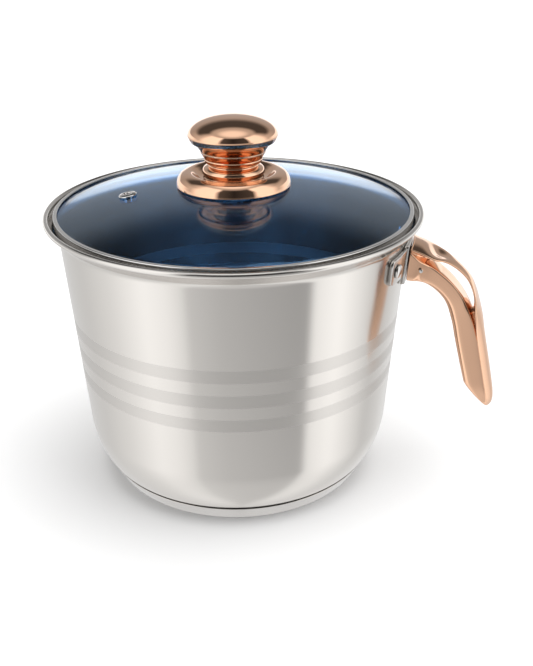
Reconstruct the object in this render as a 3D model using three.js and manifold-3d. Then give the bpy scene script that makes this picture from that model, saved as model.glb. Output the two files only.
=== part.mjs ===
// A 16 cm stainless saucepan with a domed glass lid and a cast loop handle.
// Millimetres, +Z up. The origin is on the pan's axis at the underside of the base,
// and the handle points along +X.
import * as THREE from 'three';
import { mergeVertices } from 'three/addons/utils/BufferGeometryUtils.js';
import Module from 'manifold-3d';

const wasm = await Module();
wasm.setup();

// ---------------------------------------------------------------- driving dimensions
const fitGap = 0.3;               // clearance between pieces that touch
const roundSegments = 48;         // facets round the pan and everything that follows it
const knobSegments = 28;          // facets round the knob's turned pieces
const boltSegments = 20;          // facets round screws, rivets, washers and the vent

// pan body
const panHeight = 129.6;          // bench to the top of the rolled rim
const bodyRadius = 71.04;         // the cone wall's radius, carried down to the bench
const wallTaper = 0.072;          // radius gained per millimetre of height
const panWall = 0.8;
const bellyRadius = 43.6;         // round of the belly
const bellyTop = 28.9;            // height where the cone meets the belly
const bellyFoot = 11;             // height where the belly meets the tighter bottom corner
const rimDrop = 7.3;              // from the top of the rim down to the crease below the flare
const rimOverhang = 6.2;          // how far the rim stands out from the wall at that crease
const beadRadius = 1.25;          // rolled edge

// bonded base
const capHeight = 7.7;
const capWall = 0.6;
const capTaper = 4.1;             // radius lost from the seam down to the bench
const capEdge = 0.9;              // rounding of the cap's lower edge
const coreThickness = 4.2;

// lid
const lidChannel = 2.05;          // open gap between the rolled rim and the lid's hoop
const hoopWall = 0.6;
const hoopLip = 1.75;             // width of the hoop's top lip
const hoopChamfer = 0.9;
const glassThickness = 3.0;
const domeRise = 11.2;            // from the glass edge to the top of the dome
const glassBore = 4.0;            // radius of the hole for the knob's screw
const ventRadius = 47.8;          // distance of the steam vent from the axis
const ventAngle = -158;           // degrees round from the handle
const ventBore = 1.4;
const ventFlange = 4.1;
const ventTube = 2.5;             // outer radius of the eyelet's tube
const ventLip = 0.8;              // thickness of the eyelet's two flanges

// knob
const flangeRadius = 26;          // bell-shaped flange over the glass
const flangeWall = 0.8;
const crestRadius = 19.6;         // ridge of the bell
const crestHeight = 5.9;          // ridge above the bell's outer edge
const dishRadius = 14.8;          // floor of the dish inside the ridge
const neckRadius = 14.1;          // bulge of the lower collar
const neckHeight = 6.3;
const neckWaist = 11.2;           // groove between collar and cone
const coneHeight = 9.6;
const coneRadius = 17.2;          // top of the cone, under the cap's lip
const capRadius = 20.1;           // widest part of the mushroom cap
const capDome = 8.5;              // cap's height above its widest part
const capLip = 3.1;               // how far the cap's lip reaches below its widest part
const capShell = 1.0;
const coreStem = 6.0;             // radius of the threaded core
const gasketThickness = 0.6;
const upperGasketRadius = 12;

// screw and washers under the glass
const screwShank = 2.4;
const screwHead = 5.0;
const screwHeadHeight = 2.2;
const screwEngagement = 9;        // length of thread inside the core
const washerRadius = 9;
const washerThickness = 1.0;
const lowerGasketRadius = 8;

// handle bracket and rivets
const bracketHeight = 112;        // height of the rivets above the bench
const plateThickness = 1.5;
const wingReach = 28.6;           // half width of the plate across the handle
const wingDepth = 12;             // height of the plate's wings
const padThickness = 3.2;         // raised pad that the handle meets
const padHalfWidth = 12.2;
const padDepth = 18.5;
const rivetSpread = 22.4;         // each rivet's distance from the handle's centre line
const rivetShank = 1.9;
const rivetHead = 3.2;
const rivetDome = 1.5;
const rivetEdge = 0.3;            // straight part of the head below its dome
const rivetInnerHead = 1.0;
const tongueLength = 8.0;
const tongueWidth = 11;
const tongueDepth = 6.0;
const tongueLevel = 10.0;         // middle of the tongue below the handle's back
const pinRadius = 0.9;
const pinShare = 0.55;            // how far along the tongue the cross pin sits
const pinInset = 0.6;             // each end of the pin below the handle's side

// handle: distances run along its back from the root, depths are measured inward from its back
const rootHalf = 10.5;            // half width where the handle meets the bracket
const armHalf = 6.2;              // half width of the lower arm beside the eye
const strapHalf = 4.3;            // half width of the strap that bridges the eye
const legHalf = 8.4;              // half width along the grip
const rootDepth = 16.8;
const bendDepth = 13.9;
const legDepth = 14.4;
const tipDepth = 12.9;
const strapRise = 1.4;            // how far the strap stands above the back
const strapEdge = 0.8;            // thickness of the strap's edges
const creaseDepth = 5.6;          // crease between the arm's top and its side
const bottomRound = 3.0;          // rounding along the underside
const eyeStart = 10.5;
const eyeMiddle = 28;
const eyeEnd = 44.8;
const grooveEnd = 60;             // where the groove beside the strap runs out
const tipLength = 16;             // stretch over which the grip narrows to its tip
const noseDepth = 3.9;            // where the tip comes to its point
const thumbPlace = 12.3;          // middle of the thumb rest
const thumbLength = 5.2;
const thumbHollow = 1.6;          // how deep the thumb rest is dished
const rootSlope = 20;             // degrees below level where the handle leaves the pan
const legSlope = 78.5;            // degrees below level along the grip
const leadLength = 4;             // straight stretch before the bend
const bendRadius = 47;            // round of the handle's back
const legLength = 44;
const rootAbovePad = 7.0;         // top of the handle above the bracket's centre

// ---------------------------------------------------------------- worked-out places
const radians = THREE.MathUtils.degToRad;
const wallRadius = (z) => bodyRadius + wallTaper * z;
const creaseHeight = panHeight - rimDrop;
const creaseRadius = wallRadius(creaseHeight);
const rimRadius = creaseRadius + rimOverhang;
const beadCentre = new THREE.Vector2(rimRadius - beadRadius, panHeight - beadRadius);
const flareSlope = (beadCentre.x - creaseRadius) / (beadCentre.y - creaseHeight);
const flareShift = panWall * Math.hypot(1, flareSlope);   // the wall's width measured level
const flareInnerHeight = (r) => creaseHeight + (r - creaseRadius + flareShift) / flareSlope;

const coreBase = capWall + fitGap;
const shellUnderside = coreBase + coreThickness + fitGap;
const hoopRadius = rimRadius - 2 * beadRadius - lidChannel;
const seatClearance = fitGap * Math.hypot(1, flareSlope) / flareSlope;
const hoopBottom = Math.max(
  flareInnerHeight(hoopRadius) + seatClearance - hoopChamfer,
  flareInnerHeight(hoopRadius - hoopChamfer) + seatClearance);
const glassEdgeBottom = hoopBottom + hoopWall + fitGap;
const glassEdgeTop = glassEdgeBottom + glassThickness;
const hoopTop = glassEdgeTop + fitGap + hoopWall;
const glassRadius = hoopRadius - hoopWall - fitGap;
const domeFoot = hoopRadius - hoopLip - 2 * fitGap;
const domeRadius = (domeFoot ** 2 + domeRise ** 2) / (2 * domeRise);
const domeCentre = glassEdgeTop + domeRise - domeRadius;
const domeTopAt = (r) => domeCentre + Math.sqrt(domeRadius ** 2 - r ** 2);
const domeUnderAt = (r) => domeCentre + Math.sqrt((domeRadius - glassThickness) ** 2 - r ** 2);

const upperGasketBase = domeTopAt(glassBore) + fitGap;
const flangeFloor = upperGasketBase + gasketThickness + fitGap;
const flangeEdge = domeTopAt(flangeRadius - flangeWall) + 2 * fitGap;
const neckBase = flangeFloor + flangeWall + fitGap;
const coneBase = neckBase + neckHeight + fitGap;
const coneTop = coneBase + coneHeight;
const capWidest = coneTop + capLip;
const coreHeadBase = coneTop + fitGap;
const coreHeadThickness = 1.5;
const coreHeadRadius = coneRadius - 1;
const stemBore = coreStem + fitGap;
const neckWeb = 2.0;              // solid web at the collar's foot
const coreStemBase = neckBase + neckWeb + fitGap;
const lowerGasketTop = domeUnderAt(lowerGasketRadius) - fitGap;
const washerTop = lowerGasketTop - gasketThickness - fitGap;
const screwHeadTop = washerTop - washerThickness - fitGap;
const screwTip = coreStemBase + screwEngagement;
const threadBore = screwShank + fitGap;

const handleTopHeight = bracketHeight + rootAbovePad;
const padFace = wallRadius(bracketHeight) + fitGap + padThickness;

// ---------------------------------------------------------------- helpers
const material = (color, metalness, roughness, opacity = 1) =>
  new THREE.MeshStandardMaterial({ color, metalness, roughness, opacity, transparent: opacity < 1 });
const steel = () => material(0xc9c5c0, 1, 0.22);
const brightSteel = () => material(0xd6d3ce, 1, 0.12);
const aluminium = () => material(0xb8babd, 1, 0.45);
const roseGold = () => material(0xd9a17f, 1, 0.14);
const tintedGlass = () => material(0x1f3f6b, 0, 0.03, 0.45);
const silicone = () => material(0xd8d8d4, 0, 0.6);
const zinc = () => material(0xa9abad, 1, 0.4);

function toSolid(geometry) {
  const bare = geometry.clone();
  bare.deleteAttribute('normal');
  bare.deleteAttribute('uv');
  const merged = mergeVertices(bare, 1e-4);
  return new wasm.Manifold(new wasm.Mesh({
    numProp: 3,
    vertProperties: new Float32Array(merged.attributes.position.array),
    triVerts: new Uint32Array(merged.index.array),
  }));
}

function toGeometry(solid) {
  const mesh = solid.getMesh();
  const geometry = new THREE.BufferGeometry();
  geometry.setAttribute('position', new THREE.BufferAttribute(mesh.vertProperties, 3));
  geometry.setIndex(new THREE.BufferAttribute(mesh.triVerts, 1));
  geometry.computeVertexNormals();
  return geometry;
}

const join = (first, ...rest) => toGeometry(rest.reduce((a, g) => a.add(toSolid(g)), toSolid(first)));
const cut = (first, ...rest) => toGeometry(rest.reduce((a, g) => a.subtract(toSolid(g)), toSolid(first)));
const keep = (first, second) => toGeometry(toSolid(first).intersect(toSolid(second)));

// Points on an arc about a centre, from one angle to another in degrees.
function arc(centreR, centreZ, radius, fromDegrees, toDegrees, steps) {
  return Array.from({ length: steps + 1 }, (_, i) => {
    const angle = radians(fromDegrees + (toDegrees - fromDegrees) * i / steps);
    return new THREE.Vector2(centreR + radius * Math.cos(angle), centreZ + radius * Math.sin(angle));
  });
}

// Solid of revolution about Z from [radius, height] points listed from the bottom outside up
// and back down the inside. A profile that is off the axis is closed on itself.
function turned(profile, segments) {
  const points = profile.map((p) => (Array.isArray(p) ? new THREE.Vector2(...p) : p));
  if (points[0].x > 0 || points.at(-1).x > 0) points.push(points[0].clone());
  return new THREE.LatheGeometry(points, segments).rotateX(Math.PI / 2);
}

const disc = (radius, bottom, top, segments) =>
  turned([[0, bottom], [radius, bottom], [radius, top], [0, top]], segments);
const ring = (inner, outer, bottom, top, segments) =>
  turned([[outer, bottom], [outer, top], [inner, top], [inner, bottom]], segments);

// The same path moved to its left-hand side by a distance.
function insetPath(points, distance) {
  return points.map((p, i) => {
    const ahead = points[Math.min(i + 1, points.length - 1)];
    const behind = points[Math.max(i - 1, 0)];
    const along = ahead.clone().sub(behind).normalize();
    return new THREE.Vector2(p.x - along.y * distance, p.y + along.x * distance);
  });
}

function named(name, geometry, finish) {
  const mesh = new THREE.Mesh(geometry, finish);
  mesh.name = name;
  return mesh;
}

// A rod of the given radius with its middle at a point, lying along a direction.
function rod(radius, length, middle, direction) {
  const turn = new THREE.Quaternion().setFromUnitVectors(new THREE.Vector3(0, 1, 0), direction);
  return new THREE.CylinderGeometry(radius, radius, length, boltSegments)
    .applyQuaternion(turn).translate(middle.x, middle.y, middle.z);
}

// ---------------------------------------------------------------- pan body
// The wall at the rivets: the place on its outer face and the outward direction.
function rivetPlace(side) {
  const angle = side * Math.asin(rivetSpread / wallRadius(bracketHeight));
  const lean = Math.atan(wallTaper);
  const outward = new THREE.Vector3(
    Math.cos(angle) * Math.cos(lean), Math.sin(angle) * Math.cos(lean), -Math.sin(lean));
  const facet = Math.cos(Math.PI / roundSegments);
  const r = wallRadius(bracketHeight) * (1 + facet) / 2;
  return { outward, point: new THREE.Vector3(r * Math.cos(angle), r * Math.sin(angle), bracketHeight) };
}

const rivetHole = (side, length) => {
  const { point, outward } = rivetPlace(side);
  return rod(rivetShank + fitGap, length, point, outward);
};

// Belly and corner arcs of the shell, moved in by an inset, from the cone down to the flat.
function bellyPoints(inset) {
  const lean = THREE.MathUtils.radToDeg(Math.atan(wallTaper));
  const centreR = wallRadius(bellyTop) - bellyRadius * Math.cos(radians(lean));
  const centreZ = bellyTop + bellyRadius * Math.sin(radians(lean));
  const footAngle = THREE.MathUtils.radToDeg(Math.asin((bellyFoot - centreZ) / bellyRadius));
  const footR = centreR + bellyRadius * Math.cos(radians(footAngle));
  const corner = (bellyFoot - shellUnderside) / (1 + Math.sin(radians(footAngle)));
  const cornerR = footR - corner * Math.cos(radians(footAngle));
  const cornerZ = shellUnderside + corner;
  return {
    points: [
      ...arc(centreR, centreZ, bellyRadius - inset, -lean, footAngle, 7),
      ...arc(cornerR, cornerZ, corner - inset, footAngle, -90, 4).slice(1),
    ],
    outerAt: (z) => cornerR + Math.sqrt(corner ** 2 - (cornerZ - z) ** 2),
  };
}

function panShell() {
  const beadSteps = 10;
  const flareAngle = THREE.MathUtils.radToDeg(Math.atan2(1, flareSlope));
  const opening = THREE.MathUtils.radToDeg(Math.asin(panWall / 2 / beadRadius));
  const outer = bellyPoints(0).points.reverse();
  const inner = bellyPoints(panWall).points;
  const innerLift = panWall * (flareShift / panWall - 1) / flareSlope;
  const profile = [
    [0, shellUnderside],
    ...outer,
    [creaseRadius, creaseHeight],
    ...arc(beadCentre.x, beadCentre.y, beadRadius,
      flareAngle - 180 + opening, flareAngle + 180 - opening, beadSteps),
    [creaseRadius - panWall, creaseHeight + innerLift],
    ...inner,
    [0, shellUnderside + panWall],
  ];
  const length = 8 * panWall;
  return named('pan_shell',
    cut(turned(profile, roundSegments), rivetHole(-1, length), rivetHole(1, length)), steel());
}

const capTopRadius = bellyPoints(0).outerAt(capHeight) + fitGap + capWall;
const coreRadius = capTopRadius - capTaper - capWall - 2 * fitGap;

function baseCap() {
  const bottomRadius = capTopRadius - capTaper;
  return named('base_cap', turned([
    [0, 0], [bottomRadius - capEdge, 0], [bottomRadius, capEdge], [capTopRadius, capHeight],
    [capTopRadius - capWall, capHeight], [bottomRadius - capWall, capEdge + capWall / 2],
    [bottomRadius - capEdge - capWall / 2, capWall], [0, capWall],
  ], roundSegments), brightSteel());
}

const baseCore = () =>
  named('base_core_disc', disc(coreRadius, coreBase, coreBase + coreThickness, roundSegments), aluminium());

// ---------------------------------------------------------------- handle bracket
// A layer that follows the wall, cut to an outline drawn across the handle.
function wallPatch(thickness, outline, segments = roundSegments) {
  const low = bracketHeight - padDepth;
  const high = bracketHeight + padDepth;
  const layer = turned([
    [wallRadius(low) + fitGap, low], [wallRadius(low) + fitGap + thickness, low],
    [wallRadius(high) + fitGap + thickness, high], [wallRadius(high) + fitGap, high],
  ], segments);
  const reach = 2 * wallRadius(bracketHeight);
  const prism = new THREE.ExtrudeGeometry(outline, { depth: reach, bevelEnabled: false, curveSegments: 5 })
    .rotateX(Math.PI / 2).rotateZ(Math.PI / 2).translate(0, 0, bracketHeight);
  return keep(layer, prism);
}

// Rounded outline, x across the handle and y up.
function roundedOutline(halfWidth, bottom, top, radius) {
  const shape = new THREE.Shape();
  shape.moveTo(-halfWidth + radius, bottom);
  shape.lineTo(halfWidth - radius, bottom);
  shape.absarc(halfWidth - radius, bottom + radius, radius, -Math.PI / 2, 0, false);
  shape.lineTo(halfWidth, top - radius);
  shape.absarc(halfWidth - radius, top - radius, radius, 0, Math.PI / 2, false);
  shape.lineTo(-halfWidth + radius, top);
  shape.absarc(-halfWidth + radius, top - radius, radius, Math.PI / 2, Math.PI, false);
  shape.lineTo(-halfWidth, bottom + radius);
  shape.absarc(-halfWidth + radius, bottom + radius, radius, Math.PI, 1.5 * Math.PI, false);
  return shape;
}

// The tongue that the handle slides over, or its socket when grown by a clearance.
function tongue(grow) {
  const rootInset = padThickness / 2;
  const full = tongueLength + rootInset + grow;
  return new THREE.BoxGeometry(full, tongueWidth + 2 * grow, tongueDepth + 2 * grow)
    .translate(full / 2 - rootInset, 0, 0)
    .rotateY(radians(rootSlope))
    .translate(padFace, 0, handleTopHeight - tongueLevel);
}

const pinAlong = pinShare * tongueLength;
const pinMiddle = () => new THREE.Vector3(
  padFace + pinAlong * Math.cos(radians(rootSlope)), 0,
  handleTopHeight - tongueLevel - pinAlong * Math.sin(radians(rootSlope)));
const acrossHandle = new THREE.Vector3(0, 1, 0);
const pinHole = () => rod(pinRadius + fitGap, 4 * rootHalf, pinMiddle(), acrossHandle);

function handleBracket() {
  const cornerRadius = 3;
  const wings = wallPatch(plateThickness,
    roundedOutline(wingReach, -wingDepth / 2, wingDepth / 2, cornerRadius));
  const pad = wallPatch(padThickness,
    roundedOutline(padHalfWidth, rootAbovePad - padDepth, rootAbovePad, 1));
  const length = 6 * plateThickness;
  return named('handle_bracket',
    cut(join(wings, pad, tongue(0)), rivetHole(-1, length), rivetHole(1, length), pinHole()), steel());
}

// A rivet: domed outer head on the bracket, shank through both plates, flat head inside the pan.
function bracketRivet(name, side) {
  const { point, outward } = rivetPlace(side);
  const outerFace = fitGap + plateThickness + fitGap;
  const innerFace = -panWall - 2 * fitGap;
  const domeSteps = 4;
  const dome = Array.from({ length: domeSteps + 1 }, (_, i) => {
    const angle = (Math.PI / 2) * i / domeSteps;
    return [rivetHead * Math.cos(angle), outerFace + rivetEdge + (rivetDome - rivetEdge) * Math.sin(angle)];
  });
  dome.at(-1)[0] = 0;
  const profile = [
    [0, innerFace - rivetInnerHead], [rivetHead, innerFace - rivetInnerHead], [rivetHead, innerFace],
    [rivetShank, innerFace], [rivetShank, outerFace], [rivetHead, outerFace], ...dome,
  ];
  const rivet = named(name, turned(profile, boltSegments), brightSteel());
  rivet.position.copy(point);
  rivet.quaternion.setFromUnitVectors(new THREE.Vector3(0, 0, 1), outward);
  return rivet;
}

// ---------------------------------------------------------------- handle
// The handle's back: straight lead, round bend and straight leg, by distance from the root.
const bendLength = bendRadius * radians(legSlope - rootSlope);
const handleLength = leadLength + bendLength + legLength;
const tipStart = handleLength - tipLength;

function backAt(s) {
  const start = radians(rootSlope);
  const lead = Math.min(s, leadLength);
  const round = THREE.MathUtils.clamp(s - leadLength, 0, bendLength);
  const leg = Math.max(s - leadLength - bendLength, 0);
  const slope = start + round / bendRadius;
  const point = new THREE.Vector2(
    padFace + fitGap + lead * Math.cos(start)
      + bendRadius * (Math.sin(slope) - Math.sin(start)) + leg * Math.cos(slope),
    handleTopHeight - lead * Math.sin(start)
      + bendRadius * (Math.cos(slope) - Math.cos(start)) - leg * Math.sin(slope));
  return { point, inward: new THREE.Vector2(-Math.sin(slope), -Math.cos(slope)) };
}

// Smooth values through [distance, value, ...] stops, level beyond the first and the last.
function follow(stops, s) {
  const last = stops.length - 1;
  const at = THREE.MathUtils.clamp(s, stops[0][0], stops[last][0]);
  const i = THREE.MathUtils.clamp(stops.findIndex(([d]) => d > at) - 1, 0, last - 1);
  const first = at === stops[last][0] ? last - 1 : i;
  const [before, from, to, after] = [-1, 0, 1, 2].map(
    (step) => stops[THREE.MathUtils.clamp(first + step, 0, last)]);
  const span = to[0] - from[0];
  const t = (at - from[0]) / span;
  return from.slice(1).map((value, k) => {
    const slope = (a, b) => span * (b[k + 1] - a[k + 1]) / (b[0] - a[0]);
    const [m0, m1] = [slope(before, to), slope(from, after)];
    const rise = to[k + 1] - value;
    return value + t * (m0 + t * (3 * rise - 2 * m0 - m1 + t * (m0 + m1 - 2 * rise)));
  });
}

const halfWidthAt = (s) => follow([
  [0, rootHalf], [5.5, rootHalf - 1.2], [eyeStart + 1, armHalf + 1], [eyeStart + 7, armHalf + 0.3],
  [eyeMiddle + 2, armHalf], [eyeEnd - 8, armHalf + 0.2], [eyeEnd, legHalf - 1],
  [eyeEnd + 10, legHalf - 0.2], [grooveEnd, legHalf], [grooveEnd + 12, legHalf],
  [handleLength - 5, legHalf - 1]], s)[0];
const creaseAt = (s) => follow([
  [0, creaseDepth - 2.4], [5.5, creaseDepth], [eyeStart + 7, creaseDepth + 0.6],
  [eyeMiddle + 2, creaseDepth + 0.2], [eyeEnd, creaseDepth - 0.4],
  [grooveEnd, creaseDepth - 1.4], [handleLength - 5, creaseDepth - 2]], s)[0];
const undersideAt = (s) => follow([
  [0, rootDepth], [eyeStart, rootDepth - 0.9], [eyeStart + 8, bendDepth + 0.8],
  [eyeMiddle + 4, bendDepth], [eyeEnd, legDepth], [eyeEnd + 14, legDepth - 0.3],
  [tipStart, tipDepth]], s)[0];

// Half width of the strap's top, depth of its edge and depth of its middle.
const strapAt = (s) => follow([
  [0, rootHalf, 1.6, 0.3], [5, rootHalf - 0.2, 1.5, 0], [eyeStart + 0.5, rootHalf - 0.6, 1.5, -0.3],
  [16, rootHalf - 3.5, 0.4, -0.6], [21.5, strapHalf + 0.9, -0.2, 0.4 - strapRise],
  [eyeMiddle, strapHalf, 0.8 - strapRise, -strapRise], [31.5, strapHalf + 0.3, -0.5, 0.1 - strapRise],
  [36, strapHalf + 2, 0.1, -0.5], [eyeEnd - 5, legHalf + 0.2, 0.9, 0],
  [eyeEnd, legHalf + 0.4, 2.4, 0.4], [eyeEnd + 9, legHalf, 3.8, 0.6],
  [grooveEnd, legHalf - 0.3, creaseDepth - 1.7, 0.6],
  [grooveEnd + 13, legHalf - 0.3, creaseDepth - 2, 0.3],
  [handleLength - 5, legHalf - 1.3, creaseDepth - 2.3, 0.1]], s);

// Half width of the solid web between the strap and the arm; none beside the eye.
const webAt = (s) => (s <= eyeStart
  ? follow([[-6, rootHalf - 0.2], [0, rootHalf - 1.7], [6, armHalf - 2.2], [eyeStart, 0]], s)[0]
  : follow([[eyeEnd, 0], [eyeEnd + 7, legHalf - 2.9], [grooveEnd, legHalf - 0.2],
    [handleLength - 5, legHalf - 1.2]], s)[0]);

// The tip draws every section in: a rounded plan, a slanted underside and a rounded roof.
function drawnIn(s, [across, depth]) {
  const t = THREE.MathUtils.clamp((s - tipStart) / tipLength, 0, 1);
  const share = depth > noseDepth ? 1 - t ** 1.15 : Math.sqrt(1 - t ** 4);
  return [across * Math.sqrt(1 - t ** 2.2), noseDepth + (depth - noseDepth) * share];
}

// One half of the section, from the middle of the strap's top to the middle of the underside.
// The web's side appears twice: as the strap's lowest point and as the arm's highest.
function halfSection(s) {
  const [half, crease, under, [edge, edgeDepth, top]] = [
    halfWidthAt(s), creaseAt(s), undersideAt(s), strapAt(s)];
  const thickness = Math.min(strapEdge, 0.35 * (crease - edgeDepth));
  const middle = (edgeDepth + thickness + crease) / 2;
  const along = THREE.MathUtils.clamp((s - eyeStart) / (eyeEnd - eyeStart), 0, 1);
  const open = Math.max(Math.sin(Math.PI * along), 0) ** 0.6 * (along > 0 && along < 1);
  const web = Math.min(webAt(s), edge - 0.1, half - 0.1);
  const hollow = thumbHollow * Math.exp(-(((s - thumbPlace) / thumbLength) ** 2));
  const round = Math.min(bottomRound, 0.4 * (under - crease));
  const swell = (share) => top + (edgeDepth - top) * share ** 2 + hollow * (1 - share ** 2) ** 2;
  return [
    [0, swell(0)], [0.3 * edge, swell(0.3)], [0.6 * edge, swell(0.6)], [edge, edgeDepth],
    [edge - 0.1, edgeDepth + thickness],
    [web, middle - open * (middle - edgeDepth - thickness - 0.4)],
    [web, middle + open * (crease - middle)],
    [half, crease], [half, under - round], [half - round, under], [0, under],
  ].map((place) => drawnIn(s, place));
}

// Distances along the back, closer together where the tip rounds off.
function stations() {
  const [overrun, tipSteps, blunt] = [6, 8, 0.985];
  const runs = [[-overrun, eyeStart, 9], [eyeStart, eyeEnd, 20], [eyeEnd, tipStart, 14]];
  const straight = runs.flatMap(([from, to, steps]) => Array.from({ length: steps },
    (_, i) => from + (to - from) * i / steps));
  const tip = Array.from({ length: tipSteps + 1 },
    (_, i) => tipStart + blunt * tipLength * Math.sin((Math.PI / 2) * i / tipSteps));
  return [...straight, ...tip];
}

// The handle as one closed skin over its mirrored sections; the eye opens where the web is gone.
function handleSkin() {
  const webTop = 5;
  const rings = stations().map((s) => {
    const { point, inward } = backAt(s);
    const half = halfSection(s);
    return [1, -1].map((side) => half.map(([across, depth]) => new THREE.Vector3(
      point.x + inward.x * depth, side * across, point.y + inward.y * depth)));
  });
  const corners = [];
  const face = (side, ...points) => {
    const turnedRound = side < 0 ? points : [...points].reverse();
    for (let k = 1; k < points.length - 1; k += 1) {
      corners.push(turnedRound[0], turnedRound[k], turnedRound[k + 1]);
    }
  };
  [0, 1].forEach((which) => {
    const side = which === 0 ? 1 : -1;
    for (let k = 0; k < rings[0][0].length - 1; k += 1) {
      if (k !== webTop) {
        for (let i = 0; i < rings.length - 1; i += 1) {
          const [here, next] = [rings[i][which], rings[i + 1][which]];
          face(side, here[k], here[k + 1], next[k + 1]);
          face(side, here[k], next[k + 1], next[k]);
        }
        const [first, last] = [rings[0], rings.at(-1)].map((ring) => ring[which]);
        const centre = (half) => new THREE.Vector3().lerpVectors(half[0], half.at(-1), 0.5).setY(0);
        face(side, centre(first), first[k + 1], first[k]);
        face(side, centre(last), last[k], last[k + 1]);
      }
    }
  });
  return new THREE.BufferGeometry().setFromPoints(corners);
}

// What the handle stops at: the space of the pan and the bracket's pad, grown by the clearance.
function wallSpace() {
  const low = bracketHeight - 2 * padDepth;
  const high = panHeight;
  const out = padThickness + 2 * fitGap;
  return turned([[0, low], [wallRadius(low) + out, low], [wallRadius(high) + out, high], [0, high]],
    roundSegments);
}

const handleGrip = () => named('handle_grip',
  cut(handleSkin(), wallSpace(), tongue(fitGap), pinHole()), roseGold());

const handlePin = () => named('handle_cross_pin',
  rod(pinRadius, 2 * (halfWidthAt(pinAlong) - pinInset), pinMiddle(), acrossHandle), brightSteel());

// ---------------------------------------------------------------- lid
function lidGlass() {
  const domeSteps = 8;
  const footAngle = THREE.MathUtils.radToDeg(Math.acos(domeFoot / domeRadius));
  const boreAngle = (radius) => THREE.MathUtils.radToDeg(Math.acos(glassBore / radius));
  const inside = domeRadius - glassThickness;
  const profile = [
    ...arc(0, domeCentre, inside, boreAngle(inside), footAngle, domeSteps),
    [glassRadius, glassEdgeBottom],
    [glassRadius, glassEdgeTop],
    ...arc(0, domeCentre, domeRadius, footAngle, boreAngle(domeRadius), domeSteps),
  ];
  const { point, outward } = ventPlace();
  return named('lid_glass',
    cut(turned(profile, roundSegments), rod(ventTube + fitGap, 6 * glassThickness, point, outward)),
    tintedGlass());
}

function lidHoop() {
  const lipInner = hoopRadius - hoopLip;
  return named('lid_hoop', turned([
    [lipInner, hoopBottom], [hoopRadius - hoopChamfer, hoopBottom],
    [hoopRadius, hoopBottom + hoopChamfer], [hoopRadius, hoopTop - hoopWall / 2],
    [hoopRadius - hoopWall / 2, hoopTop], [lipInner, hoopTop],
    [lipInner, hoopTop - hoopWall], [hoopRadius - hoopWall, hoopTop - hoopWall],
    [hoopRadius - hoopWall, hoopBottom + hoopWall], [lipInner, hoopBottom + hoopWall],
  ], roundSegments), brightSteel());
}

function ventPlace() {
  const angle = radians(ventAngle);
  const tilt = Math.asin(ventRadius / domeRadius);
  const outward = new THREE.Vector3(
    Math.sin(tilt) * Math.cos(angle), Math.sin(tilt) * Math.sin(angle), Math.cos(tilt));
  const middle = domeRadius - glassThickness / 2;
  return { outward, point: outward.clone().multiplyScalar(middle).add(new THREE.Vector3(0, 0, domeCentre)) };
}

// A flanged eyelet clinched through the glass, with a hole for the steam.
function ventEyelet() {
  const face = glassThickness / 2 + 2 * fitGap;
  const edge = ventLip / 2;
  const eyelet = named('steam_vent_eyelet', turned([
    [ventFlange - edge, -face - ventLip], [ventFlange, -face - edge], [ventFlange, -face], [ventTube, -face],
    [ventTube, face], [ventFlange, face], [ventFlange - edge, face + edge],
    [ventTube, face + ventLip], [ventBore + edge, face + edge], [ventBore, face], [ventBore, -face - ventLip],
  ], boltSegments), brightSteel());
  const { point, outward } = ventPlace();
  eyelet.position.copy(point);
  eyelet.quaternion.setFromUnitVectors(new THREE.Vector3(0, 0, 1), outward);
  return eyelet;
}

// ---------------------------------------------------------------- knob
// Bell-shaped flange: outer edge near the glass, up to a ridge, then down into a dish.
function knobFlange() {
  const top = new THREE.SplineCurve([
    new THREE.Vector2(flangeRadius, flangeEdge),
    new THREE.Vector2(flangeRadius - 0.4, flangeEdge + 0.3 * crestHeight),
    new THREE.Vector2((flangeRadius + crestRadius) / 2, flangeEdge + 0.8 * crestHeight),
    new THREE.Vector2(crestRadius, flangeEdge + crestHeight),
    new THREE.Vector2((crestRadius + dishRadius) / 2, flangeEdge + 0.72 * crestHeight),
    new THREE.Vector2(dishRadius, flangeFloor + flangeWall),
  ]).getPoints(11);
  const floor = new THREE.Vector2(threadBore, flangeFloor + flangeWall);
  const upper = [...top, floor];
  return named('knob_flange',
    turned([...upper, ...insetPath(upper, flangeWall).reverse()], knobSegments), roseGold());
}

// The lower collar: a foot ring, a waist and a bulge, bored for the threaded core.
function knobNeck() {
  const foot = neckRadius - 0.3;
  const waist = neckRadius - 0.9;
  const bulge = 2.2;
  return named('knob_neck', turned([
    [waist, neckBase], [foot, neckBase + 0.4], [waist, neckBase + 0.9],
    ...arc(neckRadius - bulge, neckBase + 3.1, bulge, -50, 60, 6),
    [neckWaist, neckBase + neckHeight],
    [stemBore, neckBase + neckHeight], [stemBore, neckBase + neckWeb],
    [threadBore, neckBase + neckWeb], [threadBore, neckBase],
  ], knobSegments), roseGold());
}

// The stepped cone between the collar and the cap.
function knobCone() {
  const at = (share, radius) => [radius, coneBase + share * coneHeight];
  const foot = coneRadius - 5.6;
  return named('knob_cone', turned([
    at(0, foot), at(0.08, foot + 1.1), at(0.2, foot + 1.5), at(0.24, foot + 1.2),
    at(0.52, foot + 2.6), at(0.58, foot + 3.2), at(0.64, foot + 3.0),
    at(0.84, foot + 4.6), at(1, coneRadius), at(1, stemBore), at(0, stemBore),
  ], knobSegments), roseGold());
}

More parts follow.
